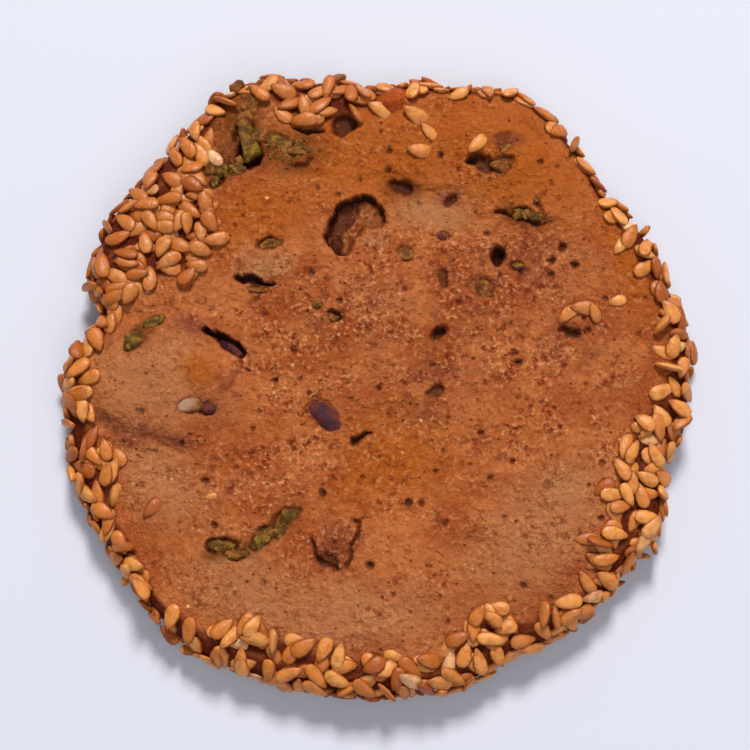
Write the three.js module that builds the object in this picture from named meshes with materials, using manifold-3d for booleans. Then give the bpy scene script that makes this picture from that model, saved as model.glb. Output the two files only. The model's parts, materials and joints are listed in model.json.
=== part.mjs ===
// A sesame and pistachio cookie: one thin, uneven disc of baked dough, lying flat.
// The upper face is smooth browned dough with chopped pistachios sunk in it. Sesame seeds cover the underside
// and the rim, and climb onto the upper face as a band of changing width.
// Millimetres, +Z up. The origin is on the resting plane, below the middle of the cookie.
import * as THREE from "three";
import { mergeVertices } from "three/addons/utils/BufferGeometryUtils.js";
import Module from "manifold-3d";

const wasm = await Module();
wasm.setup();

// Driving dimensions
const dough = {
  radius: 34.1, // of the bare dough, before the lobes and bays of its edge
  thickness: 4.17,
  edgeRound: 2.3, // how far the rounded rim stands out past the flat faces
  shoulder: 0.5, // the fall of the upper face towards the rim
  shoulderWidth: 5,
  undersideHeight: 0.86, // the seeds below hold the dough this far off the table
  facets: 17, // each side of the icosahedron that the dough is bent from has one more facet than this
};
const waves = {
  top: { height: 0.2, x: 0.19, y: 0.16, shift: { x: -0.5, y: -1.3 } },
  underside: { height: 0.08, x: 0.21, y: 0.17, shift: { x: 0.6, y: -0.4 } },
};
// Single seeds are scattered over the band on the upper face.
const seed = { length: 3.3, width: 1.85, height: 0.82, sunk: 0.1, lengthSpread: 0.12, tailWidth: 0.66 };
const band = { seeds: 56, tries: 60, margin: 0.5, randomStart: 20611 };
// Below and round the rim the seeds are packed side by side, as one pebbled coat of seed backs and gaps.
const coat = { back: 0.72, backSpread: 0.25, gap: -0.2, randomStart: 4177 };
const nut = { proud: 0.5, unevenness: 0.16, randomStart: 733 };

// Lobes (out) and bays (in) of the edge: where, in degrees from +X, how far, and over how many degrees.
const edgeLobes = [
  { at: 116, out: 2.0, spread: 13 },
  { at: 168, out: -3.6, spread: 7 },
  { at: 91, out: -1.2, spread: 6 },
  { at: 62, out: 1.5, spread: 9 },
  { at: 38, out: -1.3, spread: 6 },
  { at: -18, out: -1.4, spread: 5 },
  { at: -30, out: 0.9, spread: 5 },
  { at: -76, out: 0.5, spread: 7 },
  { at: -122, out: 1.5, spread: 11 },
];
const edgeRipples = [
  { count: 7, out: 0.22, turn: 40 },
  { count: 13, out: 0.16, turn: 10 },
];
// How far the seeds reach in over the upper face, measured from the rim's outline, at angles round the cookie.
const seedBand = [
  { at: 0, reach: 3.3 },
  { at: 20, reach: 2.6 },
  { at: 30, reach: 2.6 },
  { at: 40, reach: 1.1 },
  { at: 76, reach: 0.9 },
  { at: 88, reach: 2.6 },
  { at: 101, reach: 6.4 },
  { at: 106, reach: 6.2 },
  { at: 112, reach: 3.0 },
  { at: 121, reach: 1.8 },
  { at: 130, reach: 6.6 },
  { at: 140, reach: 11.0 },
  { at: 147, reach: 12.2 },
  { at: 152, reach: 11.2 },
  { at: 160, reach: 5.8 },
  { at: 168, reach: 2.0 },
  { at: 185, reach: 3.2 },
  { at: 191, reach: 3.0 },
  { at: 198, reach: 4.6 },
  { at: 206, reach: 3.8 },
  { at: 214, reach: 2.4 },
  { at: 228, reach: 1.4 },
  { at: 234, reach: 2.4 },
  { at: 241, reach: 4.8 },
  { at: 252, reach: 5.4 },
  { at: 264, reach: 4.2 },
  { at: 282, reach: 4.2 },
  { at: 293, reach: 6.0 },
  { at: 303, reach: 3.8 },
  { at: 316, reach: 2.9 },
  { at: 324, reach: 4.6 },
  { at: 333, reach: 6.4 },
  { at: 342, reach: 5.2 },
  { at: 349, reach: 5.4 },
  { at: 356, reach: 4.0 },
];
// Ovals of the band that stay bare: their long and wide are half of their length and width.
const clearings = [
  { x: -14.0, y: 28.6, long: 2.8, wide: 5.2, turn: 6 },
  { x: -10.2, y: 25.6, long: 4.6, wide: 2.3, turn: -8 },
  { x: -17.2, y: 23.0, long: 2.4, wide: 1.7, turn: 50 },
  { x: -3.5, y: 28.4, long: 1.8, wide: 1.5, turn: 0 },
];
// Broad swells (up) and dips of the upper face. A flat one has a level top and a steeper side.
const swells = [
  { x: -23.6, y: -0.8, long: 9.4, wide: 7.6, turn: 8, up: 1.15, flat: true },
  { x: 14, y: 25, long: 11, wide: 6, turn: -35, up: 0.55 },
  { x: 7, y: 18, long: 7, wide: 4, turn: -10, up: -0.45 },
  { x: 12, y: -17, long: 14, wide: 8, turn: 20, up: 0.45 },
  { x: -14, y: 13, long: 9, wide: 5, turn: 30, up: 0.35 },
  { x: -3, y: -9, long: 9, wide: 6, turn: -15, up: -0.3 },
  { x: 20, y: 4, long: 8, wide: 7, turn: 0, up: -0.3 },
];
// Chopped pistachios in the upper face, and two flakes of dough that stand up like them, at 2.1, 31.7 and -4.2, -18.1.
const nuts = [
  { x: -14.2, y: 30.4, long: 5.2, wide: 2.9, turn: 78 },
  { x: -14.3, y: 26.6, long: 4.8, wide: 2.7, turn: 104 },
  { x: -9.7, y: 25.9, long: 5.2, wide: 2.4, turn: -4 },
  { x: -17.9, y: 23.9, long: 3.2, wide: 1.8, turn: 62 },
  { x: 17.2, y: 18.0, long: 4.2, wide: 1.4, turn: -14 },
  { x: 13.6, y: 24.0, long: 4.0, wide: 2.2, turn: 0 },
  { x: 2.8, y: 21.2, long: 3.2, wide: 1.7, turn: -24 },
  { x: 8.3, y: 19.7, long: 2.2, wide: 1.6, turn: 10 },
  { x: 11.8, y: 9.8, long: 3.2, wide: 2.5, turn: -25 },
  { x: -5.7, y: -4.4, long: 5.0, wide: 2.9, turn: -38 },
  { x: -25.5, y: 4.5, long: 4.2, wide: 1.8, turn: 34 },
  { x: -20.1, y: -3.6, long: 3.6, wide: 2.2, turn: 12 },
  { x: -9.5, y: -15.7, long: 3.4, wide: 2.0, turn: 48 },
  { x: -12.2, y: -18.0, long: 3.2, wide: 1.8, turn: 35 },
  { x: -15.8, y: -19.0, long: 4.0, wide: 1.8, turn: 5 },
  { x: -4.2, y: -18.1, long: 5.0, wide: 3.4, turn: 62 },
  { x: 2.1, y: 31.7, long: 3.6, wide: 2.6, turn: 20 },
];
// Pits and cracks that open in the crust. The first is the large hollow.
const pits = [
  { x: -2.4, y: 17.2, long: 7.0, wide: 4.8, turn: 54, deep: 1.2 },
  { x: -16.7, y: 3.6, long: 5.8, wide: 1.4, turn: -36, deep: 1.4 },
  { x: -13.1, y: 10.7, long: 4.8, wide: 0.9, turn: -12, deep: 0.8 },
  { x: -13.9, y: 24.2, long: 3.0, wide: 1.6, turn: 30, deep: 1.2 },
  { x: -3.5, y: 28.5, long: 2.6, wide: 2.2, turn: 30, deep: 1.0 },
  { x: 13.7, y: 13.4, long: 1.9, wide: 1.6, turn: 70, deep: 1.3 },
  { x: 7.0, y: 4.5, long: 1.9, wide: 1.5, turn: 30, deep: 1.1 },
  { x: 6.6, y: -1.9, long: 1.7, wide: 1.2, turn: 25, deep: 0.6 },
  { x: -1.4, y: -6.7, long: 2.8, wide: 0.9, turn: 28, deep: 0.8 },
  { x: -5.3, y: -20.0, long: 4.4, wide: 1.1, turn: -50, deep: 0.9 },
  { x: -2.2, y: -18.2, long: 5.6, wide: 0.8, turn: 74, deep: 0.7 },
  { x: 4.1, y: -14.0, long: 2.0, wide: 1.0, turn: 0, deep: 0.6 },
  { x: 22.0, y: 4.9, long: 2.9, wide: 1.1, turn: 0, deep: 0.8 },
];
const tableCut = { size: 120, depth: 20 };
const colours = { crust: 0xa8622f };

const radians = THREE.MathUtils.degToRad;
const { smoothstep, clamp, lerp } = THREE.MathUtils;

// A repeatable draw of numbers from 0 to 1.
function drawFrom(start) {
  let state = start >>> 0;
  return () => {
    state = (state + 0x6d2b79f5) >>> 0;
    let mixed = Math.imul(state ^ (state >>> 15), 1 | state);
    mixed = (mixed + Math.imul(mixed ^ (mixed >>> 7), 61 | mixed)) ^ mixed;
    return ((mixed ^ (mixed >>> 14)) >>> 0) / 4294967296;
  };
}

function degreesApart(a, b) {
  return Math.abs(((((a - b) % 360) + 540) % 360) - 180);
}

function edgeRadius(degrees) {
  let radius = dough.radius;
  for (const lobe of edgeLobes) {
    radius += lobe.out * Math.exp(-((degreesApart(degrees, lobe.at) / lobe.spread) ** 2));
  }
  for (const ripple of edgeRipples) {
    radius += ripple.out * Math.sin(radians(ripple.count * degrees + ripple.turn));
  }
  return radius;
}

function seedReach(degrees) {
  const at = ((degrees % 360) + 360) % 360;
  const after = seedBand.findIndex((station) => station.at > at);
  const high = after < 0 ? { ...seedBand[0], at: 360 } : seedBand[after];
  const low = seedBand.at(after < 0 ? -1 : after - 1);
  return lerp(low.reach, high.reach, smoothstep(at, low.at, high.at));
}

// Where the coat starts on the skin: at the shoulder below the band of seeds, and partway down the rim where the seeds
// don't reach the upper face.
function coatStart(degrees) {
  return 1 + Math.asin(clamp(1 - seedReach(degrees) / dough.edgeRound, 0, 1)) / Math.PI;
}

// Where x and y lie in a turned oval, as a share of its half length and half width.
function inOval(oval, x, y) {
  const turn = radians(oval.turn);
  const along = (x - oval.x) * Math.cos(turn) + (y - oval.y) * Math.sin(turn);
  const across = (y - oval.y) * Math.cos(turn) - (x - oval.x) * Math.sin(turn);
  return Math.hypot(along / oval.long, across / oval.wide);
}

function waveAt(wave, x, y) {
  return wave.height * Math.cos(wave.x * x + wave.shift.x) * Math.cos(wave.y * y + wave.shift.y);
}

function undersideAt(x, y) {
  return dough.undersideHeight + waveAt(waves.underside, x, y);
}

function swellAt(swell, x, y) {
  const away = inOval(swell, x, y);
  const [levelTo, edge] = [0.62, 1.12];
  return swell.up * (swell.flat ? 1 - smoothstep(away, levelTo, edge) : Math.exp(-away * away));
}

function topAt(x, y) {
  const inset = edgeRadius(THREE.MathUtils.radToDeg(Math.atan2(y, x))) - dough.edgeRound - Math.hypot(x, y);
  const fall = dough.shoulder * (1 - smoothstep(inset, 0, dough.shoulderWidth)) ** 2;
  const flat = dough.undersideHeight + dough.thickness + waveAt(waves.top, x, y) - fall;
  return swells.reduce((height, swell) => height + swellAt(swell, x, y), flat);
}

// The point of the dough's skin at an angle. Along is 0 at the middle of the upper face, goes from 1 to 2 round the
// rim, and is 3 at the middle of the underside.
function skinPoint(degrees, along) {
  const flat = edgeRadius(degrees) - dough.edgeRound;
  const turn = radians(degrees);
  const at = (radius, height) => {
    const [x, y] = [radius * Math.cos(turn), radius * Math.sin(turn)];
    return new THREE.Vector3(x, y, height(x, y));
  };
  if (along <= 1) return at(along * flat, topAt);
  if (along >= 2) return at((3 - along) * flat, undersideAt);
  const [upper, lower] = [at(flat, topAt), at(flat, undersideAt)];
  const round = (along - 1) * Math.PI;
  const middle = (upper.z + lower.z) / 2;
  return at(flat + dough.edgeRound * Math.sin(round), () => middle + (upper.z - middle) * Math.cos(round));
}

// Carries a point of the unit sphere to the skin. The part above cap becomes the upper face and the part below belt
// the underside, so that the corners lie closer together where the coat of seeds is.
const cap = 0.46;
const belt = -0.04;
function skinPlace(direction) {
  const degrees = THREE.MathUtils.radToDeg(Math.atan2(direction.y, direction.x));
  const z = clamp(direction.z, -1, 1);
  if (z > cap) return { degrees, along: Math.sqrt((1 - z) / (1 - cap)) };
  if (z < belt) return { degrees, along: 3 - Math.sqrt((1 + z) / (1 + belt)) };
  return { degrees, along: 1 + (cap - z) / (cap - belt) };
}

function skinNormal({ degrees, along }) {
  const step = { degrees: 1.5, along: 0.03 };
  const held = clamp(along, 0.1, 2.9); // the angle has no meaning at the very middle
  const round = skinPoint(degrees + step.degrees, held).sub(skinPoint(degrees - step.degrees, held));
  const down = skinPoint(degrees, held + step.along).sub(skinPoint(degrees, held - step.along));
  return down.cross(round).normalize();
}

// A geometry with its corners shared by the faces that meet there, and nothing but their places kept.
function mergedCorners(geometry) {
  const bare = new THREE.BufferGeometry().setAttribute("position", geometry.getAttribute("position"));
  return mergeVertices(bare.setIndex(geometry.index), 1e-4);
}

function eachVertex(geometry, change) {
  const position = geometry.getAttribute("position");
  const vertex = new THREE.Vector3();
  for (let i = 0; i < position.count; i++) {
    change(vertex.fromBufferAttribute(position, i), i);
    position.setXYZ(i, vertex.x, vertex.y, vertex.z);
  }
  return geometry;
}

// A closed geometry as a solid that can be joined and cut.
function solidOf(geometry) {
  const merged = mergedCorners(geometry);
  const vertProperties = merged.getAttribute("position").array;
  const triVerts = new Uint32Array(merged.index.array);
  return new wasm.Manifold(new wasm.Mesh({ numProp: 3, vertProperties, triVerts }));
}

function neighboursOf({ index }, count) {
  const neighbours = Array.from({ length: count }, () => new Set());
  for (let i = 0; i < index.count; i++) {
    const next = i % 3 === 2 ? i - 2 : i + 1;
    neighbours[index.getX(i)].add(index.getX(next));
    neighbours[index.getX(next)].add(index.getX(i));
  }
  return neighbours;
}

function shuffled(list, draw) {
  const order = [...list];
  for (let i = order.length - 1; i > 0; i--) {
    const j = Math.floor(draw() * (i + 1));
    [order[i], order[j]] = [order[j], order[i]];
  }
  return order;
}

// Finds pairs of neighbouring corners that touch no other pair, and how far each is raised as the back of a seed.
function seedBacks(neighbours, coated, draw) {
  const raised = new Map();
  const free = (corner, partner) =>
    coated(corner) && [corner, ...neighbours[corner]].every((other) => other === partner || !raised.has(other));
  for (const corner of shuffled(neighbours.keys(), draw)) {
    const partner = shuffled(neighbours[corner], draw).find((other) => free(other));
    if (partner === undefined || !free(corner)) continue;
    const rise = coat.back * (1 + coat.backSpread * (2 * draw() - 1));
    raised.set(corner, rise).set(partner, rise);
  }
  return raised;
}

function doughSolid() {
  const ball = mergedCorners(new THREE.IcosahedronGeometry(1, dough.facets));
  const places = [];
  eachVertex(ball, (vertex) => places.push(skinPlace(vertex.normalize())));
  const coated = (corner) => places[corner].along > coatStart(places[corner].degrees);
  const backs = seedBacks(neighboursOf(ball, places.length), coated, drawFrom(coat.randomStart));
  eachVertex(ball, (vertex, corner) => {
    const place = places[corner];
    const lift = backs.get(corner) ?? (coated(corner) ? coat.gap : 0);
    vertex.copy(skinPoint(place.degrees, place.along)).addScaledVector(skinNormal(place), lift);
  });
  return solidOf(ball);
}

// A seed lies along +Y with its tail at +Y. It has six sides round its length, and the uppermost is its back.
function seedSolid(length) {
  const ball = new THREE.SphereGeometry(1, 6, 3);
  const ballWidth = 2 * Math.sin(Math.PI / 3);
  const ballHeight = Math.sin(Math.PI / 3) ** 2;
  return solidOf(
    eachVertex(ball, (vertex) => {
      const taper = lerp(1, seed.tailWidth, smoothstep(vertex.y, -0.4, 0.6));
      const [width, height] = [taper * seed.width, taper * seed.height];
      vertex.multiply(new THREE.Vector3(width / ballWidth, length / 2, height / ballHeight));
    }),
  );
}

function placedOnSkin(solid, point, normal, turn) {
  const side = new THREE.Vector3(1, 0, 0).cross(normal);
  side.normalize().applyAxisAngle(normal, turn);
  const length = normal.clone().cross(side);
  const place = new THREE.Matrix4().makeBasis(side, length, normal).setPosition(point);
  return solid.transform(place.elements);
}

// Each seed of the band goes where the seeds so far are furthest away, so that they are spread evenly.
function bandSeedPlaces(draw) {
  const places = [];
  const points = [];
  const inBand = ({ degrees, along }) => {
    const inset = (1 - along) * (edgeRadius(degrees) - dough.edgeRound);
    const { x, y } = skinPoint(degrees, along);
    const bare = clearings.some((oval) => inOval(oval, x, y) < 1);
    return !bare && inset < seedReach(degrees) - dough.edgeRound - band.margin;
  };
  while (places.length < band.seeds) {
    let best = null;
    for (let i = 0; i < band.tries; i++) {
      const place = { degrees: 360 * draw(), along: Math.sqrt(draw()) };
      if (!inBand(place)) continue;
      const point = skinPoint(place.degrees, place.along);
      const room = Math.min(...points.map((other) => other.distanceTo(point)));
      if (!best || room > best.room) best = { place, point, room };
    }
    if (!best) continue;
    places.push(best.place);
    points.push(best.point);
  }
  return places;
}

function bandSeedSolids() {
  const draw = drawFrom(band.randomStart);
  return bandSeedPlaces(draw).map((place) => {
    const normal = skinNormal(place);
    const point = skinPoint(place.degrees, place.along).addScaledVector(normal, -seed.sunk);
    const length = seed.length * (1 + seed.lengthSpread * (2 * draw() - 1));
    return placedOnSkin(seedSolid(length), point, normal, 2 * Math.PI * draw());
  });
}

// The seed at the middle of the underside reaches below the table from head to tail, so that the cut leaves it flat.
function restingSeedSolid() {
  const place = new THREE.Vector3(0, 0, seed.height * seed.tailWidth);
  return placedOnSkin(seedSolid(seed.length), place, new THREE.Vector3(0, 0, -1), 0);
}

// An uneven chunk with the named length and width, half as thick as it is wide.
function nutSolids() {
  const draw = drawFrom(nut.randomStart);
  return nuts.map(({ x, y, long, wide, turn }) => {
    const chunk = mergedCorners(new THREE.IcosahedronGeometry(1, 0));
    eachVertex(chunk, (vertex) => {
      vertex.multiplyScalar(1 + nut.unevenness * (2 * draw() - 1));
      vertex.multiply(new THREE.Vector3(long / 2, wide / 2, wide / 2));
    });
    chunk.rotateZ(radians(turn)).translate(x, y, topAt(x, y) + nut.proud - wide / 2);
    return solidOf(chunk);
  });
}

function pitSolids() {
  return pits.map(({ x, y, long, wide, turn, deep }) => {
    const tool = new THREE.IcosahedronGeometry(1, 0).scale(long / 2, wide / 2, deep);
    tool.rotateZ(radians(turn)).translate(x, y, topAt(x, y) + deep / 10);
    return solidOf(tool);
  });
}

function cookieSolid() {
  const belowTable = new THREE.BoxGeometry(tableCut.size, tableCut.size, tableCut.depth);
  belowTable.translate(0, 0, -tableCut.depth / 2);
  let whole = doughSolid();
  for (const pit of pitSolids()) whole = whole.subtract(pit);
  for (const piece of [...nutSolids(), ...bandSeedSolids(), restingSeedSolid()]) whole = whole.add(piece);
  return whole.subtract(solidOf(belowTable));
}

function geometryOf(solid) {
  const { vertProperties, triVerts } = solid.getMesh(); // three numbers for each vertex
  const geometry = new THREE.BufferGeometry();
  geometry.setAttribute("position", new THREE.BufferAttribute(vertProperties, 3));
  geometry.setIndex(new THREE.BufferAttribute(triVerts, 1));
  geometry.computeVertexNormals();
  return geometry;
}

const look = { color: colours.crust, roughness: 0.6, metalness: 0, flatShading: true };
const crust = new THREE.MeshStandardMaterial(look);
const cookie = new THREE.Mesh(geometryOf(cookieSolid()), crust);
cookie.name = "cookie";

const root = new THREE.Group();
root.add(cookie);
export default root;
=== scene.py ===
import itertools
import json
import math

import bmesh
import bpy
import numpy as np
from mathutils import Matrix, Vector

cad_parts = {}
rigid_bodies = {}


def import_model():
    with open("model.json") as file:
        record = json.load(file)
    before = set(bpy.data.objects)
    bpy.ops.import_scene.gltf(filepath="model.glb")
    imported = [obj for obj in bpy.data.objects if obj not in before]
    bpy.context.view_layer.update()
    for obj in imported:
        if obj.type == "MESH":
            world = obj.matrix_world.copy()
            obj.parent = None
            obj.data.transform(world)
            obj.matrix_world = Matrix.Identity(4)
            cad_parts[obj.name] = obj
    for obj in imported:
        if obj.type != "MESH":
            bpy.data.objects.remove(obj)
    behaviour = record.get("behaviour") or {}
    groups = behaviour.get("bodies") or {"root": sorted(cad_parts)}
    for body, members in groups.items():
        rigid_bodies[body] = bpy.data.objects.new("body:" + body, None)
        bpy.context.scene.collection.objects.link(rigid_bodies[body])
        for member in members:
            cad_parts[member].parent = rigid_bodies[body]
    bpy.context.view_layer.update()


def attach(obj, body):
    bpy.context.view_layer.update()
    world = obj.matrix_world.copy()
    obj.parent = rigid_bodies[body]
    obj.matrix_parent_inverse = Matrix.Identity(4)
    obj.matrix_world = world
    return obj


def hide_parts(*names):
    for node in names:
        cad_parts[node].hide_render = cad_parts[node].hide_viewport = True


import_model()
scene = bpy.context.scene
millimetre = 0.001  # sizes below are in millimetres, and every mesh is written in metres


cameraSettings = {
    "elevation": 80,  # degrees above the table: nearly face on, a little of the near rim shows
    "lens": 85,
    "frameWidth": 82.5,  # how much of the table the picture is wide, at the cookie
    "aim": (0.0, 0.2, 3.5),
}


def addCamera(settings):
    data = bpy.data.cameras.new("camera")
    data.lens = settings["lens"]
    data.clip_start = 0.005
    data.clip_end = 20
    camera = bpy.data.objects.new("camera", data)
    scene.collection.objects.link(camera)
    distance = settings["frameWidth"] / data.sensor_width * data.lens * millimetre
    tilt = math.radians(settings["elevation"])
    back = Vector((0, -math.cos(tilt), math.sin(tilt)))
    camera.location = Vector(settings["aim"]) * millimetre + back * distance
    camera.rotation_euler = (-back).to_track_quat("-Z", "Y").to_euler()
    scene.camera = camera


addCamera(cameraSettings)
print("camera ready")


dough = {
    "radius": 34.1,
    "thickness": 4.1,
    "edgeRound": 2.3,  # how far the rounded rim stands out past the flat faces
    "shoulder": 0.5,
    "shoulderWidth": 5.0,
    "undersideHeight": 0.93,
    "sideBumps": (0.25, 3.0, 31),  # how far they stand out of the side, their size, seed
    "topRings": 146,
    "rimRows": 14,
}
waves = {
    "top": {"height": 0.2, "x": 0.19, "y": 0.16, "shiftX": -0.5, "shiftY": -1.3},
    "underside": {"height": 0.14, "x": 0.21, "y": 0.17, "shiftX": 0.6, "shiftY": -0.4},
}
# lobes and bays of the edge: degrees from +X, how far out, over how many degrees
edgeLobes = [
    (116, 2.0, 13), (168, -3.6, 7), (91, -1.2, 6), (62, 1.5, 9), (38, -1.3, 6),
    (-18, -1.4, 5), (-30, 0.9, 5), (-76, 0.5, 7), (-122, 1.5, 11),
]
edgeRipples = [(7, 0.22, 40), (13, 0.16, 10)]  # how many, how far out, turned by
# how far the seeds reach in over the upper face: degrees from +X, distance from the outline
seedBand = [
    (0, 3.3), (20, 2.6), (30, 2.6), (40, 1.1), (76, 0.9), (88, 2.6), (101, 6.4), (106, 6.2),
    (112, 3.0), (121, 1.8), (130, 6.6), (140, 11.0), (147, 12.2), (152, 11.2), (160, 5.8), (168, 2.0),
    (185, 3.2), (191, 3.0), (198, 4.6), (206, 3.8), (214, 2.4), (228, 1.4), (234, 2.4), (241, 4.8),
    (252, 5.4), (264, 4.2), (282, 4.2), (293, 6.0), (303, 3.8), (316, 2.9), (324, 4.6), (333, 6.4),
    (342, 5.2), (349, 5.4), (356, 4.0),
]
# where the crust shows between the seeds: x, y, half length, half width, turned by
clearings = [
    (-14.0, 28.6, 2.8, 5.2, 6), (-10.2, 25.6, 4.6, 2.3, -8), (-17.2, 23.0, 2.4, 1.7, 50),
    (-3.5, 28.4, 1.8, 1.5, 0), (2.1, 31.4, 1.9, 1.5, 20), (13.4, 24.6, 3.2, 2.6, 0),
]
# swells and dips of the upper face: x, y, half length, half width, turned by, how high, level top
swells = [
    (-23.6, -0.8, 9.4, 7.6, 8, 1.15, True),
    (14, 25, 11, 6, -35, 0.55, False),
    (7, 18, 7, 4, -10, -0.45, False),
    (12, -17, 14, 8, 20, 0.45, False),
    (-14, 13, 9, 5, 30, 0.35, False),
    (-3, -9, 9, 6, -15, -0.3, False),
    (20, 4, 8, 7, 0, -0.3, False),
]


def smoothstep(value, low, high):
    share = np.clip((value - low) / (high - low), 0, 1)
    return share * share * (3 - 2 * share)


def noiseAt(points, size, seed):
    # smooth gradient noise, about -0.7 to 0.7, with bumps of the given size
    draw = np.random.default_rng(seed)
    table = draw.permutation(256)
    slopes = draw.normal(size=(256, 3))
    slopes /= np.linalg.norm(slopes, axis=1)[:, None]
    grid = points / size
    cell = np.floor(grid).astype(int)
    inside = grid - cell
    fade = inside**3 * (inside * (inside * 6 - 15) + 10)
    total = np.zeros(len(points))
    for corner in itertools.product((0, 1), repeat=3):
        x, y, z = ((cell + corner) & 255).T
        slope = slopes[table[(table[(table[x] + y) & 255] + z) & 255]]
        weight = np.prod(np.where(corner, fade, 1 - fade), axis=1)
        total += weight * np.sum(slope * (inside - corner), axis=1)
    return total


def flatNoise(x, y, size, seed):
    return noiseAt(np.stack([x, y, np.full_like(x, 0.37 * size)], axis=1), size, seed)


def layered(x, y, layers):
    # smooth noise of several heights and sizes, added up
    return sum(height * flatNoise(x, y, size, seed) for height, size, seed in layers)


def edgeRadius(degrees):
    radius = np.full_like(degrees, dough["radius"], dtype=float)
    for at, out, spread in edgeLobes:
        apart = np.abs((degrees - at + 540) % 360 - 180)
        radius += out * np.exp(-((apart / spread) ** 2))
    for count, out, turn in edgeRipples:
        radius += out * np.sin(np.radians(count * degrees + turn))
    return radius


def seedReach(degrees):
    stations = seedBand + [(360, seedBand[0][1])]
    angles, reaches = np.array(stations, float).T
    at = degrees % 360
    after = np.clip(np.searchsorted(angles, at, side="right"), 1, len(angles) - 1)
    share = smoothstep(at, angles[after - 1], angles[after])
    return reaches[after - 1] + share * (reaches[after] - reaches[after - 1])


def rimStart(reach):
    # where the seeds start on the rim, from 1 at its upper edge to 2 at its lower edge
    return 1 + np.arcsin(np.clip(1 - reach / dough["edgeRound"], 0, 1)) / math.pi


def inOval(x, y, oval):
    # 0 in the oval's middle, 1 on its edge
    atX, atY, long, wide, turned = oval
    turn = math.radians(turned)
    along = (x - atX) * math.cos(turn) + (y - atY) * math.sin(turn)
    across = (y - atY) * math.cos(turn) - (x - atX) * math.sin(turn)
    return np.hypot(along / long, across / wide)


def clearAt(x, y):
    # below 1 where the crust shows between the seeds
    return np.min([inOval(x, y, oval) for oval in clearings], axis=0)


def waveAt(wave, x, y):
    swing = np.cos(wave["x"] * x + wave["shiftX"]) * np.cos(wave["y"] * y + wave["shiftY"])
    return wave["height"] * swing


def undersideAt(x, y):
    return dough["undersideHeight"] + waveAt(waves["underside"], x, y)


def insetAt(x, y):
    # how far inside the edge of the flat face
    return edgeRadius(np.degrees(np.arctan2(y, x))) - dough["edgeRound"] - np.hypot(x, y)


def topAt(x, y):
    fall = dough["shoulder"] * (1 - smoothstep(insetAt(x, y), 0, dough["shoulderWidth"])) ** 2
    height = dough["undersideHeight"] + dough["thickness"] + waveAt(waves["top"], x, y) - fall
    for *oval, up, level in swells:
        away = inOval(x, y, oval)
        height = height + up * (1 - smoothstep(away, 0.62, 1.12) if level else np.exp(-away * away))
    return height


def skinPoints(degrees, along, topHeight=topAt):
    # along is 0 at the middle of the upper face, 1 to 2 round the rim, 3 at the middle of the underside
    flat = edgeRadius(degrees) - dough["edgeRound"]
    turn = np.radians(degrees)
    rim = np.clip(along - 1, 0, 1) * math.pi
    radius = flat * np.clip(np.minimum(along, 3 - along), 0, 1) + dough["edgeRound"] * np.sin(rim)
    x, y = radius * np.cos(turn), radius * np.sin(turn)
    upper, lower = topHeight(x, y), undersideAt(x, y)
    height = np.where(along >= 2, lower, upper)
    onRim = (along > 1) & (along < 2)
    if onRim.any():
        edgeX, edgeY = flat[onRim] * np.cos(turn[onRim]), flat[onRim] * np.sin(turn[onRim])
        upper, lower = topHeight(edgeX, edgeY), undersideAt(edgeX, edgeY)
        middle = (upper + lower) / 2
        height[onRim] = middle + (upper - middle) * np.cos(rim[onRim])
    return np.stack([x, y, height], axis=1)


def skinNormals(degrees, along):
    held = np.clip(along, 0.1, 2.9)
    around = skinPoints(degrees + 1.5, held) - skinPoints(degrees - 1.5, held)
    down = skinPoints(degrees, held + 0.03) - skinPoints(degrees, held - 0.03)
    normals = np.cross(down, around)
    return normals / np.linalg.norm(normals, axis=1)[:, None]


# chopped pistachios in the crust: how far the top stands over it, how wide a gap runs round it,
# and how much of it is dark skin or browned, where the rest is green kernel
nutSettings = {
    "seed": 91,
    "thickness": 0.6,  # share of the width
    "widest": 2.4,  # a wider piece is no thicker
    "socket": 0.42,
    "gapWidth": 0.2,
    "gapDepth": 0.8,
    "oversize": 1.12,
    "cuts": 7,
    "cutRange": (0.6, 0.88),  # how far from the middle, of 1
    "roughness": [(0.26, 0.75, 51), (0.10, 0.28, 52)],  # share of the radius, size of the bumps, seed
    "tilt": 0.12,
    "crumbLengths": (0.6, 1.7),
    # where the small crumbs lie: x, y, half length, half width, turned by, how many
    "crumbs": [
        (-14.3, 29.9, 2.3, 3.6, 12, 20), (-12.2, 26.6, 1.6, 1.2, 0, 5), (-9.6, 25.6, 3.6, 1.5, -8, 22),
        (-16.8, 23.2, 2.2, 1.2, 30, 8), (-10.8, -16.9, 3.2, 0.9, 42, 7), (-15.8, -19.2, 2.4, 0.8, 5, 6),
        (16.4, 18.0, 2.8, 0.6, -14, 4),
    ],
}
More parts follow.
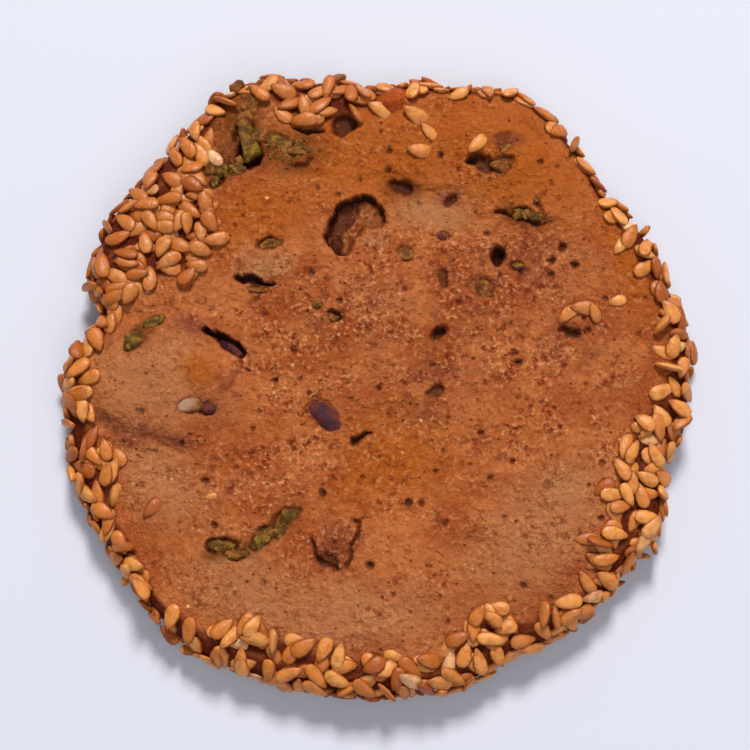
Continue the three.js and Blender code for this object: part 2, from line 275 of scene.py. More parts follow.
nuts = [
    # x, y, length, width, turned by, proud, gap, skin, browned
    (-14.2, 30.6, 5.4, 3.0, 78, 0.12, 0.2, 0.0, 0.8),
    (-14.2, 26.3, 4.6, 2.6, 104, 0.30, 0.9, 0.0, 0.35),
    (-11.0, 26.4, 3.2, 2.2, -20, 0.10, 0.2, 0.0, 0.6),
    (-8.8, 25.6, 3.2, 2.0, 25, 0.08, 0.2, 0.0, 0.7),
    (-17.9, 23.9, 3.2, 1.8, 62, 0.12, 0.6, 0.1, 0.8),
    (-15.5, 23.2, 2.4, 1.6, 15, 0.08, 0.2, 0.0, 0.4),
    (-15.8, 3.0, 3.0, 1.2, -38, -0.8, 0.0, 1.0, 0.0),
    (17.2, 18.0, 4.2, 1.1, -14, 0.04, 0.8, 0.0, 0.45),
    (17.9, 19.6, 1.6, 0.8, 75, 0.05, 0.5, 0.6, 1.0),
    (14.0, 23.6, 2.2, 1.3, -15, -0.15, 0.3, 0.0, 1.0),
    (14.5, 25.5, 1.8, 1.1, 20, -0.08, 0.3, 0.0, 1.0),
    (2.8, 21.2, 3.2, 1.7, -24, -1.0, 0.0, 0.0, 1.0),
    (8.3, 19.7, 2.2, 1.5, 10, -0.95, 0.0, 0.0, 1.0),
    (11.8, 9.8, 3.2, 2.5, -25, -0.14, 0.3, -0.3, 0.95),
    (3.4, 13.6, 2.0, 1.6, 0, -0.12, 0.3, -0.3, 0.9),
    (7.5, 15.7, 1.4, 1.0, 0, -0.02, 0.2, 0.3, 0.9),
    (15.7, 12.2, 1.4, 1.0, 30, 0.0, 0.3, 0.6, 0.6),
    (-11.6, 14.6, 3.0, 1.2, 8, -0.2, 0.6, 0.1, 0.7),
    (-12.9, 9.6, 2.4, 0.9, -5, -0.15, 0.1, 0.0, 1.0),
    (-4.5, 6.4, 1.3, 1.1, 0, -0.1, 0.8, 0.1, 0.7),
    (-6.4, 7.8, 1.3, 1.0, 0, -0.02, 0.2, 0.1, 0.8),
    (-5.6, -4.5, 5.4, 2.9, -40, 0.25, 0.3, 1.0, 0.0),
    (-26.3, 3.7, 3.2, 2.3, 55, 0.10, 0.3, 0.0, 0.2),
    (-24.2, 5.7, 2.6, 1.4, 30, 0.06, 0.2, 0.0, 0.35),
    (-20.1, -3.6, 3.4, 2.2, 12, 0.04, 0.3, 0.1, 1.0),
    (-18.2, -3.8, 1.5, 1.8, 80, 0.1, 0.7, 1.0, 0.0),
    (-9.5, -15.7, 3.2, 2.0, 48, 0.12, 0.5, 0.0, 0.3),
    (-12.2, -18.0, 3.0, 1.8, 35, 0.10, 0.6, 0.0, 0.35),
    (-16.4, -18.7, 3.2, 1.6, 5, -0.12, 1.0, -0.3, 0.5),
    (-14.9, -19.6, 2.8, 1.3, 5, 0.02, 0.1, 0.0, 0.75),
]
# cracks: the points they run through, half width, depth, and where along they are widest
cracks = [
    ([(1.0, 17.0), (0.7, 18.9), (-0.6, 20.0), (-2.1, 19.9), (-3.7, 19.0), (-4.8, 17.2), (-5.1, 15.7),
      (-4.8, 14.2), (-3.6, 13.5), (-2.4, 13.7)], 0.26, 1.2, 0.45),
    ([(-19.0, 5.2), (-18.0, 4.7), (-17.0, 4.1), (-15.6, 3.0), (-14.4, 1.9)], 0.66, 1.5, 0.75),
    ([(-15.4, 11.3), (-14.6, 10.7), (-13.1, 10.6), (-11.9, 10.2), (-10.7, 10.2)], 0.36, 0.9, 0.3),
    ([(-15.2, 26.4), (-14.6, 25.0), (-13.4, 24.2), (-12.9, 25.2)], 0.42, 1.3, 0.6),
    ([(12.9, 18.6), (14.4, 18.2), (16.0, 17.7), (18.4, 16.9), (19.2, 17.6)], 0.30, 0.7, 0.5),
    ([(17.9, 20.4), (18.0, 19.2), (18.8, 18.2)], 0.26, 0.4, 0.5),
    ([(-9.6, 24.0), (-8.0, 23.7), (-6.6, 24.6)], 0.3, 0.5, 0.5),
    ([(-6.8, -17.7), (-6.3, -19.4), (-5.0, -20.8), (-3.4, -21.4)], 0.26, 0.7, 0.6),
    ([(-3.4, -21.4), (-2.7, -19.4), (-1.9, -17.6), (-1.6, -16.2), (-2.4, -15.6)], 0.20, 0.55, 0.75),
    ([(-4.6, -20.4), (-4.1, -19.0), (-4.4, -17.8)], 0.2, 0.3, 0.3),
    ([(-2.6, -7.3), (-1.6, -6.9), (-0.3, -6.0)], 0.34, 0.8, 0.2),
    ([(-9.4, 28.2), (-7.4, 27.5), (-5.2, 27.9)], 0.3, 0.7, 0.5),
    ([(-9.7, 19.4), (-9.0, 19.3), (-8.4, 19.7)], 0.22, 0.25, 0.5),
    ([(22.0, -10.5), (19.0, -13.0), (17.5, -16.5)], 0.5, 0.10, 0.5),
]
# folds: the points they run through, depth, reach to the left and to the right, where they are deepest
folds = [
    ([(-32.2, -4.2), (-29.0, -6.0), (-25.4, -7.0), (-21.6, -8.4), (-18.4, -10.0)], 0.62, 2.8, 0.5, 0.32),
    ([(-13.8, 2.2), (-14.4, 0.2), (-15.8, -2.2), (-17.4, -4.6)], 0.3, 0.7, 1.6, 0.2),
    ([(-29.4, 3.4), (-26.4, 6.4), (-22.4, 7.2), (-18.8, 5.4)], 0.25, 0.8, 1.4, 0.6),
    ([(-0.6, 22.5), (2.2, 22.7), (5.6, 20.9), (9.4, 20.6), (12.6, 18.8)], 0.35, 0.5, 2.6, 0.4),
]
# small lumps: x, y, half length, half width, turned by, how high
lumps = [
    (2.1, 31.7, 1.9, 1.4, 20, 0.9), (-18.9, 0.2, 2.2, 1.9, 0, 0.34), (0.2, 15.2, 1.6, 1.2, 20, 0.2),
    (22.6, 6.4, 2.4, 1.3, 10, 0.25), (-4.2, -18.1, 2.6, 1.9, 62, 0.42), (16.2, 23.0, 2.0, 1.4, 30, 0.2),
    (-9.6, 12.2, 2.2, 1.4, 0, 0.15),
]
# pits: x, y, half length, half width, turned by, depth, how dark the painted shade inside
pits = [
    (-2.0, 16.8, 3.5, 2.5, 54, 1.15, 0.1),
    (-3.5, 17.6, 2.6, 1.1, 54, 1.5, 0.6),
    (-14.0, 24.5, 1.5, 0.9, 30, 1.3, 0.95),
    (-17.5, 22.3, 1.1, 0.6, 60, 0.7, 0.8),
    (12.1, 24.0, 1.5, 0.9, -30, 0.9, 0.7),
    (14.2, 23.6, 1.3, 1.0, 20, 0.6, 0.4),
    (2.9, 21.3, 1.3, 0.75, -28, 0.75, 0.75),
    (8.3, 19.8, 1.0, 0.6, 20, 0.6, 0.7),
    (10.9, 24.3, 0.8, 0.5, 40, 0.9, 1.0),
    (14.4, 26.9, 0.9, 0.5, 30, 0.35, 0.5),
    (-3.5, 28.5, 1.3, 1.1, 30, 1.0, 0.75),
    (13.7, 13.4, 0.8, 0.95, 20, 1.4, 1.0),
    (7.0, 4.5, 0.9, 0.6, 30, 1.0, 0.85),
    (7.4, 10.9, 0.5, 1.2, 10, 0.5, 0.6),
    (21.5, 4.8, 1.2, 0.36, -6, 0.6, 0.75),
    (23.5, 5.1, 0.5, 0.35, 20, 0.4, 0.5),
    (-4.2, 15.0, 0.5, 1.2, -10, 1.3, 0.8),
    (6.6, -1.9, 0.75, 0.55, 25, 0.5, 0.65),
    (5.0, -4.4, 2.8, 2.0, 0, 0.16, 0.15),
    (-24.3, -1.6, 1.0, 0.6, 0, 0.12, 0.25),
    (-4.9, -20.1, 1.2, 0.5, -50, 0.45, 0.5),
    (10.9, -17.7, 1.0, 0.8, 0, 0.25, 0.35),
]
doughLap = (0.5, 14.2, 3.1, 2.7, 10)  # the oval where the dough laps over the large pit's lower right
# dark pores: x, y, diameter
pores = [
    (20.7, 14.3, 1.0), (19.6, 12.9, 0.9), (22.1, 12.3, 1.0), (23.7, 22.6, 0.6), (20.3, 23.6, 0.5),
    (19.6, 21.4, 0.5), (9.3, 23.3, 0.55), (1.7, 25.4, 0.7), (-1.6, 22.1, 0.6), (4.9, 19.4, 0.5),
    (3.4, 20.4, 0.6), (29.9, 8.6, 0.6), (-3.9, 8.3, 0.75), (-4.1, 20.4, 0.6), (-14.7, 17.9, 0.5),
    (-20.9, -7.6, 0.7), (-18.3, -11.6, 0.8), (-10.9, -0.6, 0.85), (0.3, -1.4, 0.75), (-2.6, -2.6, 0.6),
    (-5.6, -13.0, 0.9), (-0.6, -20.7, 0.95), (15.7, 1.4, 0.95), (9.7, 1.9, 0.5), (3.6, -14.0, 0.85),
    (4.9, -14.1, 0.75), (14.0, -15.6, 0.55), (7.4, -16.3, 0.6), (-12.1, -22.7, 0.45), (-15.1, -10.2, 0.5),
    (24.3, -15.7, 0.7), (24.9, -18.9, 0.75), (12.8, 21.9, 0.5), (11.6, 22.4, 0.45), (6.2, 27.0, 0.4),
    (-6.8, 12.6, 0.5), (-8.9, 4.1, 0.45), (2.0, 5.6, 0.5), (17.5, 8.4, 0.5), (19.5, -3.6, 0.55),
    (-14.8, 6.6, 0.4), (-12.6, -4.0, 0.5), (10.4, -9.8, 0.5), (16.4, -8.2, 0.45), (-1.4, -11.2, 0.5),
]
# the fine ones scattered besides: how many, and their half lengths
poreSettings = {"count": 280, "smallest": 0.14, "largest": 0.38, "depth": 0.9, "within": 31, "seed": 57}


# how far smooth noise moves what is drawn on the face, so that no edge runs true, its size and its seed
warps = {
    "patches": [(1.6, 4.0, 16)],
    "openings": [(0.6, 1.7, 11), (0.32, 0.7, 13)],
    "pores": [(0.3, 0.6, 18)],
    "folds": [(0.8, 2.6, 26)],
}


def warped(x, y, name):
    movedX, movedY = x, y
    for far, size, seed in warps[name]:
        movedX = movedX + far * flatNoise(x, y, size, seed)
        movedY = movedY + far * flatNoise(x, y, size, seed + 1)
    return movedX, movedY


def smoothPath(points, steps=6):
    # a smooth line through the points
    points = np.array(points, float)
    held = np.vstack([2 * points[0] - points[1], points, 2 * points[-1] - points[-2]])
    line = []
    for before, start, end, after in zip(held, held[1:], held[2:], held[3:]):
        for t in np.arange(steps) / steps:
            bend = (2 * before - 5 * start + 4 * end - after) * t * t
            sway = (3 * start - before - 3 * end + after) * t**3
            line.append(start + 0.5 * ((end - before) * t + bend + sway))
    return np.array(line + [points[-1]])


def pathDistance(x, y, path):
    # the distance to a path, how far along it from 0 to 1, and whether the point lies on its left
    points = smoothPath(path)
    lengths = np.linalg.norm(np.diff(points, axis=0), axis=1)
    starts = np.concatenate([[0], np.cumsum(lengths)])
    best = np.full_like(x, 1e9)
    share = np.zeros_like(x)
    left = np.zeros(x.shape, bool)
    for a, b, length, start in zip(points, points[1:], lengths, starts):
        along = np.clip(((x - a[0]) * (b[0] - a[0]) + (y - a[1]) * (b[1] - a[1])) / length**2, 0, 1)
        away = np.hypot(x - a[0] - along * (b[0] - a[0]), y - a[1] - along * (b[1] - a[1]))
        nearer = away < best
        best = np.where(nearer, away, best)
        share = np.where(nearer, (start + along * length) / starts[-1], share)
        left = np.where(nearer, (b[0] - a[0]) * (y - a[1]) > (b[1] - a[1]) * (x - a[0]), left)
    return best, share, left


# patches of the crust that look different: x, y, half length, half width, turned by
patches = {
    "smooth": [(-24.0, -0.8, 8.0, 6.6, 8), (19, 25, 8, 5, -40), (6.2, 18.0, 4.4, 2.5, -8)],
    "sandy": [(4, 6, 19, 13, -10), (-6, -12, 12, 8, 20), (16, -4, 9, 12, 0), (-9, 1, 8, 7, 0)],
    # paler crust; the last oval, on the ridge under the lobe's fold, is a painted highlight where the
    # ridge faces the light
    "pale": [(-24.0, -0.8, 7.6, 6.4, 8), (18, -17, 11, 6, 40), (-3, -26, 12, 4.5, 0),
             (-23, -12, 6, 4, -40), (-13, -24, 8, 4, -20), (-24.4, -9.2, 5.0, 1.1, -16)],
    "golden": [(14, 25, 13, 7.5, -30), (28.5, 15, 3.5, 8, 10), (0, 25, 14, 7, 0),
               (-18.9, 0.3, 2.6, 2.4, 0), (-13, 18, 7, 4, 20), (2, -9.5, 8, 6, 30)],
    "valley": [(6.2, 18.0, 4.4, 2.5, -8), (-12.2, 12.2, 3.4, 2.0, 10),
               (-15.5, -20.0, 3.6, 1.2, 5), (20.5, -12.4, 3.2, 2.0, 30), (0.2, 15.0, 1.8, 1.4, 20)],
    "green": [(-15.4, 28.8, 4.4, 5.2, 12), (-14.3, 26.3, 3.2, 3.4, 20), (-9.9, 25.4, 5.4, 2.9, -8),
              (-17.1, 23.3, 3.6, 2.4, 30), (16.8, 18.0, 3.2, 1.2, -14), (2.9, 21, 2.4, 1.6, -24),
              (-10.8, -16.8, 4.0, 1.5, 42), (-15.6, -19.0, 3.0, 1.4, 5), (-25.6, 4.6, 2.2, 1.5, 35)],
    "amber": [(2.1, 31.6, 2.0, 1.6, 20)],
    "flake": [(-4.2, -18.3, 3.0, 2.3, 62)],
    "shaded": [(-27.2, -6.1, 4.6, 1.1, -16), (-22.2, -7.5, 3.0, 0.8, -20), (-20.0, 5.3, 2.6, 1.1, -20),
               (-3.4, 17.4, 2.6, 1.2, 54), (-14.2, 24.8, 2.2, 1.6, 20), (-17.5, 22.5, 1.8, 1.1, 30),
               (14.7, 26.8, 1.9, 1.1, 20), (8.2, 19.8, 1.5, 1.1, 0), (3.2, 21.1, 1.7, 1.1, -24)],
    # darker crust; the ovals below the lobe's fold, along the lobe's right side and beside the slot are
    # painted shade
    "duskyAndShade": [(16, 12.5, 9, 4.6, 10), (8, 10.6, 2.2, 3.2, 10), (-5, 6.5, 4, 3, 0), (22, 3.5, 5, 4, 0),
              (7, -1, 6, 4, 50), (-27.4, -5.4, 3.6, 0.9, -18), (-15.6, -1.6, 1.6, 4.5, -20),
              (-1.0, 7, 6, 5, 0), (-20.5, 4.9, 3.0, 1.4, -10), (12, 6, 6, 3, 0)],
    "blanched": [(-21.0, -3.3, 1.7, 1.1, 12)],
}


def patchAt(x, y, name, soft=0.75):
    at = warped(x, y, "patches")
    most = np.zeros_like(x)
    for oval in patches[name]:
        most = np.maximum(most, 1 - smoothstep(inOval(*at, oval), 1 - soft, 1 + soft / 2))
    return most


def poreList(settings):
    draw = np.random.default_rng(settings["seed"])
    found = [(x, y, 0.5 * wide, 0.4 * wide, 47 * x) for x, y, wide in pores]  # each turned its own way
    while len(found) < settings["count"] + len(pores):
        turn, radius = draw.uniform(0, 2 * math.pi), settings["within"] * math.sqrt(draw.uniform())
        x, y = radius * math.cos(turn), radius * math.sin(turn)
        sandy, duskyAndShade = [patchAt(np.array([x]), np.array([y]), name)[0] for name in ("sandy", "duskyAndShade")]
        if draw.uniform() > 0.3 + sandy + 0.4 * duskyAndShade:
            continue  # fewer in the smooth crust
        size = settings["smallest"] + (settings["largest"] - settings["smallest"]) * draw.uniform() ** 3
        oval = 0.5 + 0.5 * draw.uniform()
        found.append((x, y, size, size * oval, 180 * draw.uniform()))
    return found


openingSettings = {
    "darkFrom": 0.08,  # depths where the painted shade in an opening starts, and where it is darkest
    "darkest": 0.5,
    "wall": 0.28,  # how wide a pit's sloping wall is
    "largePit": 2.2,  # the half width past which the dough laps over a pit
    "crackEnds": 0.45,  # share of a crack's width away from where it is widest
    "crackSpread": 0.35,
    "poreReach": 1.2,  # no pore is wider than this to either side
}


def openingsAt(x, y, settings=openingSettings):
    # how deep the cracks, pits, sockets and pores are at each point, and how dark the shade painted
    # inside them
    deep, shadeInside = np.zeros_like(x), np.zeros_like(x)
    at = warped(x, y, "openings")

    def sink(depth, shadeStrength, darkest=settings["darkest"]):
        nonlocal deep, shadeInside
        # painted shade inside, darker the deeper the opening
        shadeInside = np.maximum(shadeInside, shadeStrength * smoothstep(depth, settings["darkFrom"], darkest))
        deep = np.maximum(deep, depth)

    for atX, atY, long, wide, turned, depth, shadeStrength in pits:
        away = inOval(*at, (atX, atY, long, wide, turned))
        steep = min(0.35, settings["wall"] / wide)  # a small pit is a bowl
        inside = depth * (1 - smoothstep(away, 1 - steep, 1 + steep))
        if wide > settings["largePit"]:
            inside *= smoothstep(inOval(*at, doughLap), 0.8, 1.3)
        sink(inside, shadeStrength, max(settings["darkest"], 0.9 * depth))
    for path, halfWidth, depth, widest in cracks:
        away, share, _ = pathDistance(*at, path)
        swelling = np.exp(-(((share - widest) / settings["crackSpread"]) ** 2))
        width = halfWidth * (settings["crackEnds"] + (1 - settings["crackEnds"]) * swelling)
        ends = smoothstep(share, -0.02, 0.12) * (1 - smoothstep(share, 0.88, 1.02))
        # a crack gets painted shade, darker the deeper it is
        sink(depth * ends * np.exp(-((away / width) ** 4)), min(1, depth * 1.1))
    partial = smoothstep(flatNoise(x, y, 2.4, 15) + 0.12, -0.2, 0.3)
    for atX, atY, long, wide, turned, proud, gap, skin, browned in nuts:
        away = inOval(*at, (atX, atY, long / 2, wide / 2, turned))
        ring = np.exp(-((((away - 0.98) * wide / 2) / nutSettings["gapWidth"]) ** 2))
        # the gap round a piece gets dark painted shade
        sink(nutSettings["gapDepth"] * gap * ring * partial, 0.95)
        socket = (nutSettings["socket"] + max(0, -proud)) * (1 - smoothstep(away, 0.72, 0.98))
        bowl = max(0, 0.1 - proud) * (1 - smoothstep(away, 0.9, 1.25))
        if gap > 0:  # a piece without a gap lies in a pit of its own
            deep = np.maximum(deep, np.maximum(socket, bowl))
    poreX, poreY = warped(x, y, "pores")
    for atX, atY, long, wide, turned in poreList(poreSettings):
        near = (np.abs(x - atX) < settings["poreReach"]) & (np.abs(y - atY) < settings["poreReach"])
        away = inOval(poreX[near], poreY[near], (atX, atY, long, wide, turned))
        inside = 1 - smoothstep(away, 0.35, 1.35)
        deep[near] = np.maximum(deep[near], min(0.8, poreSettings["depth"] * 1.6 * wide) * inside)
        # painted shade inside the pore
        shadeInside[near] = np.maximum(shadeInside[near], min(0.8, 2.0 * wide) * inside)
    return deep, shadeInside


# the unevenness of the upper face: height, size of its bumps, seed
unevenness = {
    "broad": [(0.18, 4.6, 21), (0.08, 2.0, 22)],
    "grains": [(1.0, 0.8, 23)],
    "nearNuts": [(0.30, 1.5, 24), (0.16, 0.7, 25)],
}
grainHeight, sandyExtra = 0.03, 0.09


def reliefAt(x, y):
    # the folds, lumps and fine unevenness of the upper face
    relief = layered(x, y, unevenness["broad"])
    relief += (grainHeight + sandyExtra * patchAt(x, y, "sandy")) * layered(x, y, unevenness["grains"])
    relief += patchAt(x, y, "green") * layered(x, y, unevenness["nearNuts"])
    at = warped(x, y, "folds")
    for path, depth, leftWidth, rightWidth, deepest in folds:
        away, share, left = pathDistance(*at, path)
        across = 1 - smoothstep(away / np.where(left, leftWidth, rightWidth), 0, 1)
        along = np.exp(-(((share - deepest) / 0.42) ** 2))
        relief -= depth * across * along * (1 - smoothstep(share, 0.8, 1.0))
    for *oval, up in lumps:
        relief += up * (1 - smoothstep(inOval(*at, oval), 0.35, 1.25))
    return relief


def crustAt(x, y):
    inner = smoothstep(insetAt(x, y), -0.5, 0.8)
    return topAt(x, y) + reliefAt(x, y) - inner * openingsAt(x, y)[0]


def discTriangles(rings, first):
    # a disc of rings with 6, 12, 18 ... corners round a middle corner, facing up
    triangles = []
    for ring in range(1, rings + 1):
        outer = first + 1 + 3 * ring * (ring - 1)
        inner = first + 1 + 3 * (ring - 1) * (ring - 2)
        for side, step in itertools.product(range(6), range(ring)):
            here = outer + side * ring + step
            ahead = outer + (side * ring + step + 1) % (6 * ring)
            at = first if ring == 1 else inner + (side * (ring - 1) + step) % (6 * (ring - 1))
            triangles.append((at, here, ahead))
            if step < ring - 1:
                beside = inner + (side * (ring - 1) + step + 1) % (6 * (ring - 1))
                triangles.append((at, ahead, beside))
    return triangles


def discPlaces(rings):
    # the angle in degrees and the share of the radius of each corner of such a disc
    places = [(0.0, 0.0)]
    for ring in range(1, rings + 1):
        places += [(60 * step / ring, ring / rings) for step in range(6 * ring)]
    return np.array(places)


def meshObject(name, points, faces):
    mesh = bpy.data.meshes.new(name)
    mesh.from_pydata((points * millimetre).tolist(), [], faces)
    mesh.shade_smooth()
    mesh.validate()
    made = bpy.data.objects.new(name, mesh)
    scene.collection.objects.link(made)
    return made


def addAttribute(piece, name, values):
    attribute = piece.data.attributes.new(name, "FLOAT", "POINT")
    attribute.data.foreach_set("value", np.asarray(values, np.float32))


def doughFaces(rings, rows):
    # the upper face, the rows of the rim, and an underside of half as many rings
    around = 6 * rings
    rimFirst = len(discPlaces(rings))
    faces = discTriangles(rings, 0)
    for row in range(rows):
        above = rimFirst - around + row * around
        for step in range(around):
            ahead = (step + 1) % around
            faces.append((above + step, above + around + step, above + around + ahead, above + ahead))
    underFirst = rimFirst + rows * around
    faces += [(a, c, b) for a, b, c in discTriangles(rings // 2, underFirst)]
    above = underFirst - around
    below = underFirst + len(discPlaces(rings // 2)) - around // 2
    for step in range(around // 2):
        ahead = (step + 1) % (around // 2)
        first, second, third = 2 * step, 2 * step + 1, (2 * step + 2) % around
        faces.append((above + first, below + step, above + second))
        faces.append((above + second, below + step, below + ahead))
        faces.append((above + second, below + ahead, above + third))
    return faces


def markDough(made, points, degrees, along):
    # the attributes that the dough's material reads
    x, y = points[:, 0], points[:, 1]
    onTop, overRim = [1 - smoothstep(along, *ends) for ends in ((1.0, 1.25), (1.2, 1.5))]
    deep, shadeInside = openingsAt(x, y)
    step = 0.12
    slope = np.hypot(openingsAt(x + step, y)[0] - deep, openingsAt(x, y + step)[0] - deep) / step
    reach = seedReach(degrees)
    under = 1 - smoothstep(insetAt(x, y) - reach + dough["edgeRound"], -2.0, -0.6)
    under = np.where(along > 1, smoothstep(along - rimStart(reach), 0.02, 0.10), under)
    # painted shade inside the openings
    addAttribute(made, "cavityShade", shadeInside * onTop)
    addAttribute(made, "hollow", smoothstep(deep, 0.15, 0.6) * onTop)
    # painted shade on the steep walls of the openings
    addAttribute(made, "steep", smoothstep(slope, 0.5, 1.8) * onTop)
    # the dough under and between the seeds: its darker syrup coat, and painted shade between the seeds
    addAttribute(made, "coatedAndShaded", under * smoothstep(clearAt(x, y), 0.8, 1.2))
    for name in patches:
        addAttribute(made, name, patchAt(x, y, name) * overRim)


def makeDough(settings):
    rings, rows = settings["topRings"], settings["rimRows"]
    top, under = discPlaces(rings), discPlaces(rings // 2)
    rimAngles = np.arange(6 * rings) * 360 / (6 * rings)
    rim = np.array([(angle, 1 + row / rows) for row in range(1, rows + 1) for angle in rimAngles])
    degrees = np.concatenate([top[:, 0], rim[:, 0], under[:, 0]])
    # the underside's outer ring lies a step inside the rim's last row
    along = np.concatenate([top[:, 1], rim[:, 1], 3 - under[:, 1] * 0.985])
    points = skinPoints(degrees, along, crustAt)
    height, size, seed = settings["sideBumps"]
    bumps = smoothstep(along, 1.0, 1.3) * height * noiseAt(points, size, seed)
    points[:, :2] += bumps[:, None] * points[:, :2] / 34
    made = meshObject("cookie_dough", points, doughFaces(rings, rows))
    markDough(made, points, degrees, along)
    return made


cookieDough = makeDough(dough)
print("dough", len(cookieDough.data.vertices), "corners")


seedSettings = {
    "length": 2.96,
    "width": 1.74,
    "thickness": 0.66,
    "spread": 0.13,  # share by which single seeds are larger or smaller
    "sunk": 0.34,  # how deep the first layer sits in the dough
    "give": 0.26,  # how far two seeds may press into each other
    "strayLift": 0.1,
    "layers": {"face": 2.6, "rim": 2.0, "underside": 1.1},
    "candidates": 5,
    "ragged": [(0.9, 4.0, 41), (0.9, 1.6, 42)],  # the edge of the band: how far, size, seed
    "steepest": 0.6,  # the slope that a seed may lean to on its neighbours
    "unrest": 0.1,  # how far seeds lean at random
    "onEdge": 0.05,  # share of seeds that stand on their edge
    "highest": 6.7,  # no seed reaches higher
    "shapes": [(0.0, 0.0), (0.07, 0.12), (-0.06, 0.1), (0.03, -0.14)],  # how far bent, and how lopsided
    # ovals where the seeds are painted darker, as shade, and where they are paler, partly as painted
    # light
    "shadeOnSeeds": [(-25, 15, 11, 11, 0), (-5, 31.5, 9, 4, 0)],
    "paler": [(3, 28.5, 5, 4, 0), (22, 7, 3, 2, 0), (31, -8, 6, 14, 0), (19, -25, 8, 5, 35)],
    "pool": 30000,
    "seed": 4311,
}
# single seeds on the bare crust: x, y, turned by, size
straySeeds = [
    (0.6, 30.3, -10, 1.08), (4.6, 29.5, -15, 1.12), (6.0, 27.6, -30, 0.85), (4.9, 25.4, 8, 1.08),
    (11.3, 25.9, 62, 0.95), (9.3, 32.0, 40, 0.9), (-7.2, 28.9, 22, 1.12), (21.2, 6.6, 58, 0.85),
    (22.8, 7.4, 15, 1.0), (24.1, 6.9, -50, 0.8), (-10.4, 29.6, -25, 1.0), (13.0, -25.4, 20, 1.0),
    (-17.7, -13.4, 30, 0.5), (-24.0, -14.6, 60, 0.9), (27.2, 14.5, 70, 0.9), (26.6, 8.2, 30, 0.8),
    (24.6, -12.6, 50, 0.95), (22.6, -18.0, 20, 0.9), (-27.8, -9.0, -40, 0.95), (-19.6, 15.2, 10, 0.95),
]


def faceArea(part):
    flat = dough["radius"] - dough["edgeRound"]
    bulge = 1.5  # from the flat face's edge to the middle of the rim's half round
    return math.pi * flat**2 if part != "rim" else 2 * math.pi**2 * dough["edgeRound"] * (flat + bulge)


def seededPool(draw, settings):
    # places on the seeded skin, even by area, with their normals, and how many seeds cover it
    count = settings["pool"]
    areas = np.array([faceArea(part) * layers for part, layers in settings["layers"].items()])
    part = draw.choice(3, size=count, p=areas / areas.sum())
    degrees, share = draw.uniform(0, 360, count), draw.uniform(size=count)
    along = np.choose(part, [np.sqrt(share), 1 + share, 3 - np.sqrt(share)])
    points = skinPoints(degrees, along)
    x, y = points[:, 0], points[:, 1]
    reach = seedReach(degrees)
    ragged = layered(x, y, settings["ragged"])
    onFace = (insetAt(x, y) + ragged < reach - dough["edgeRound"] - 0.5) & (clearAt(x, y) > 1.1)
    onRim = along + 0.03 * ragged > rimStart(reach) + 0.08
    kept = np.choose(part, [onFace, onRim, np.ones(count, bool)]).astype(bool)
    seeds = areas.sum() / (0.7 * settings["length"] * settings["width"]) * kept.mean()
    return points[kept], skinNormals(degrees[kept], along[kept]), int(seeds)


def footprint():
    # points of a unit ellipse, and how far below its middle the seed's skin is there
    rings = [(0.0, 1), (0.5, 6), (0.88, 10)]
    points = [
        (radius * math.cos(2 * math.pi * i / count), radius * math.sin(2 * math.pi * i / count))
        for radius, count in rings
        for i in range(count)
    ]
    points = np.array(points)
    return points, np.sqrt(1 - np.sum(points**2, axis=1))


unitFootprint, footprintDrop = footprint()
farBelow = -9.0  # stands for no seed there


def supportUnder(points, direction, centres, toUnit):
    # how far along the direction the seeds already there reach, from each point
    if not len(centres):
        return np.full(len(points), farBelow)
    start = np.einsum("nij,mnj->mni", toUnit, points[:, None] - centres[None])
    step = toUnit @ direction
    square = np.sum(step * step, axis=1)
    half = np.einsum("mni,ni->mn", start, step)
    inside = half**2 - square * (np.sum(start * start, axis=2) - 1)
    tops = np.where(inside > 0, (-half + np.sqrt(np.maximum(inside, 0))) / square, farBelow)
    return tops.max(axis=1)


def leaned(basis, slopes):
    # the basis tipped by the two slopes, sideways and lengthways
    side, length, up = basis.T
    up = up - slopes[0] * side - slopes[1] * length
    up /= np.linalg.norm(up)
    length = length - np.dot(length, up) * up
    length /= np.linalg.norm(length)
    return np.stack([np.cross(length, up), length, up], axis=1)


def restingPlace(point, normal, turn, half, centres, toUnit, settings):
    # how high a seed comes to lie over the skin at a point, with its centre and its axes
    side = np.cross([0.3, 1.0, 0.2], normal)
    side /= np.linalg.norm(side)
    basis = np.stack([side, np.cross(normal, side), normal], axis=1)
    cosine, sine = math.cos(turn), math.sin(turn)
    level = basis = basis @ np.array([[cosine, -sine, 0], [sine, cosine, 0], [0, 0, 1]])
    for leaning in range(2):
        side, length = basis[:, 0] * half[0], basis[:, 1] * half[1]
        corners = point + unitFootprint[:, :1] * side + unitFootprint[:, 1:] * length
        support = supportUnder(corners, normal, centres, toUnit)
        onSeeds = np.max(support + footprintDrop * half[2] - settings["give"])
        height = max(half[2] - settings["sunk"], onSeeds)
        if leaning or not len(centres):
            break
        flat = np.column_stack([unitFootprint * half[:2], np.ones(len(unitFootprint))])
        slopes = np.linalg.lstsq(flat, np.maximum(support, 0.0), rcond=None)[0][:2]
        slopes *= min(1, settings["steepest"] / max(np.linalg.norm(slopes), 1e-6))
        basis = leaned(level, slopes)
    return height, point + height * normal, basis


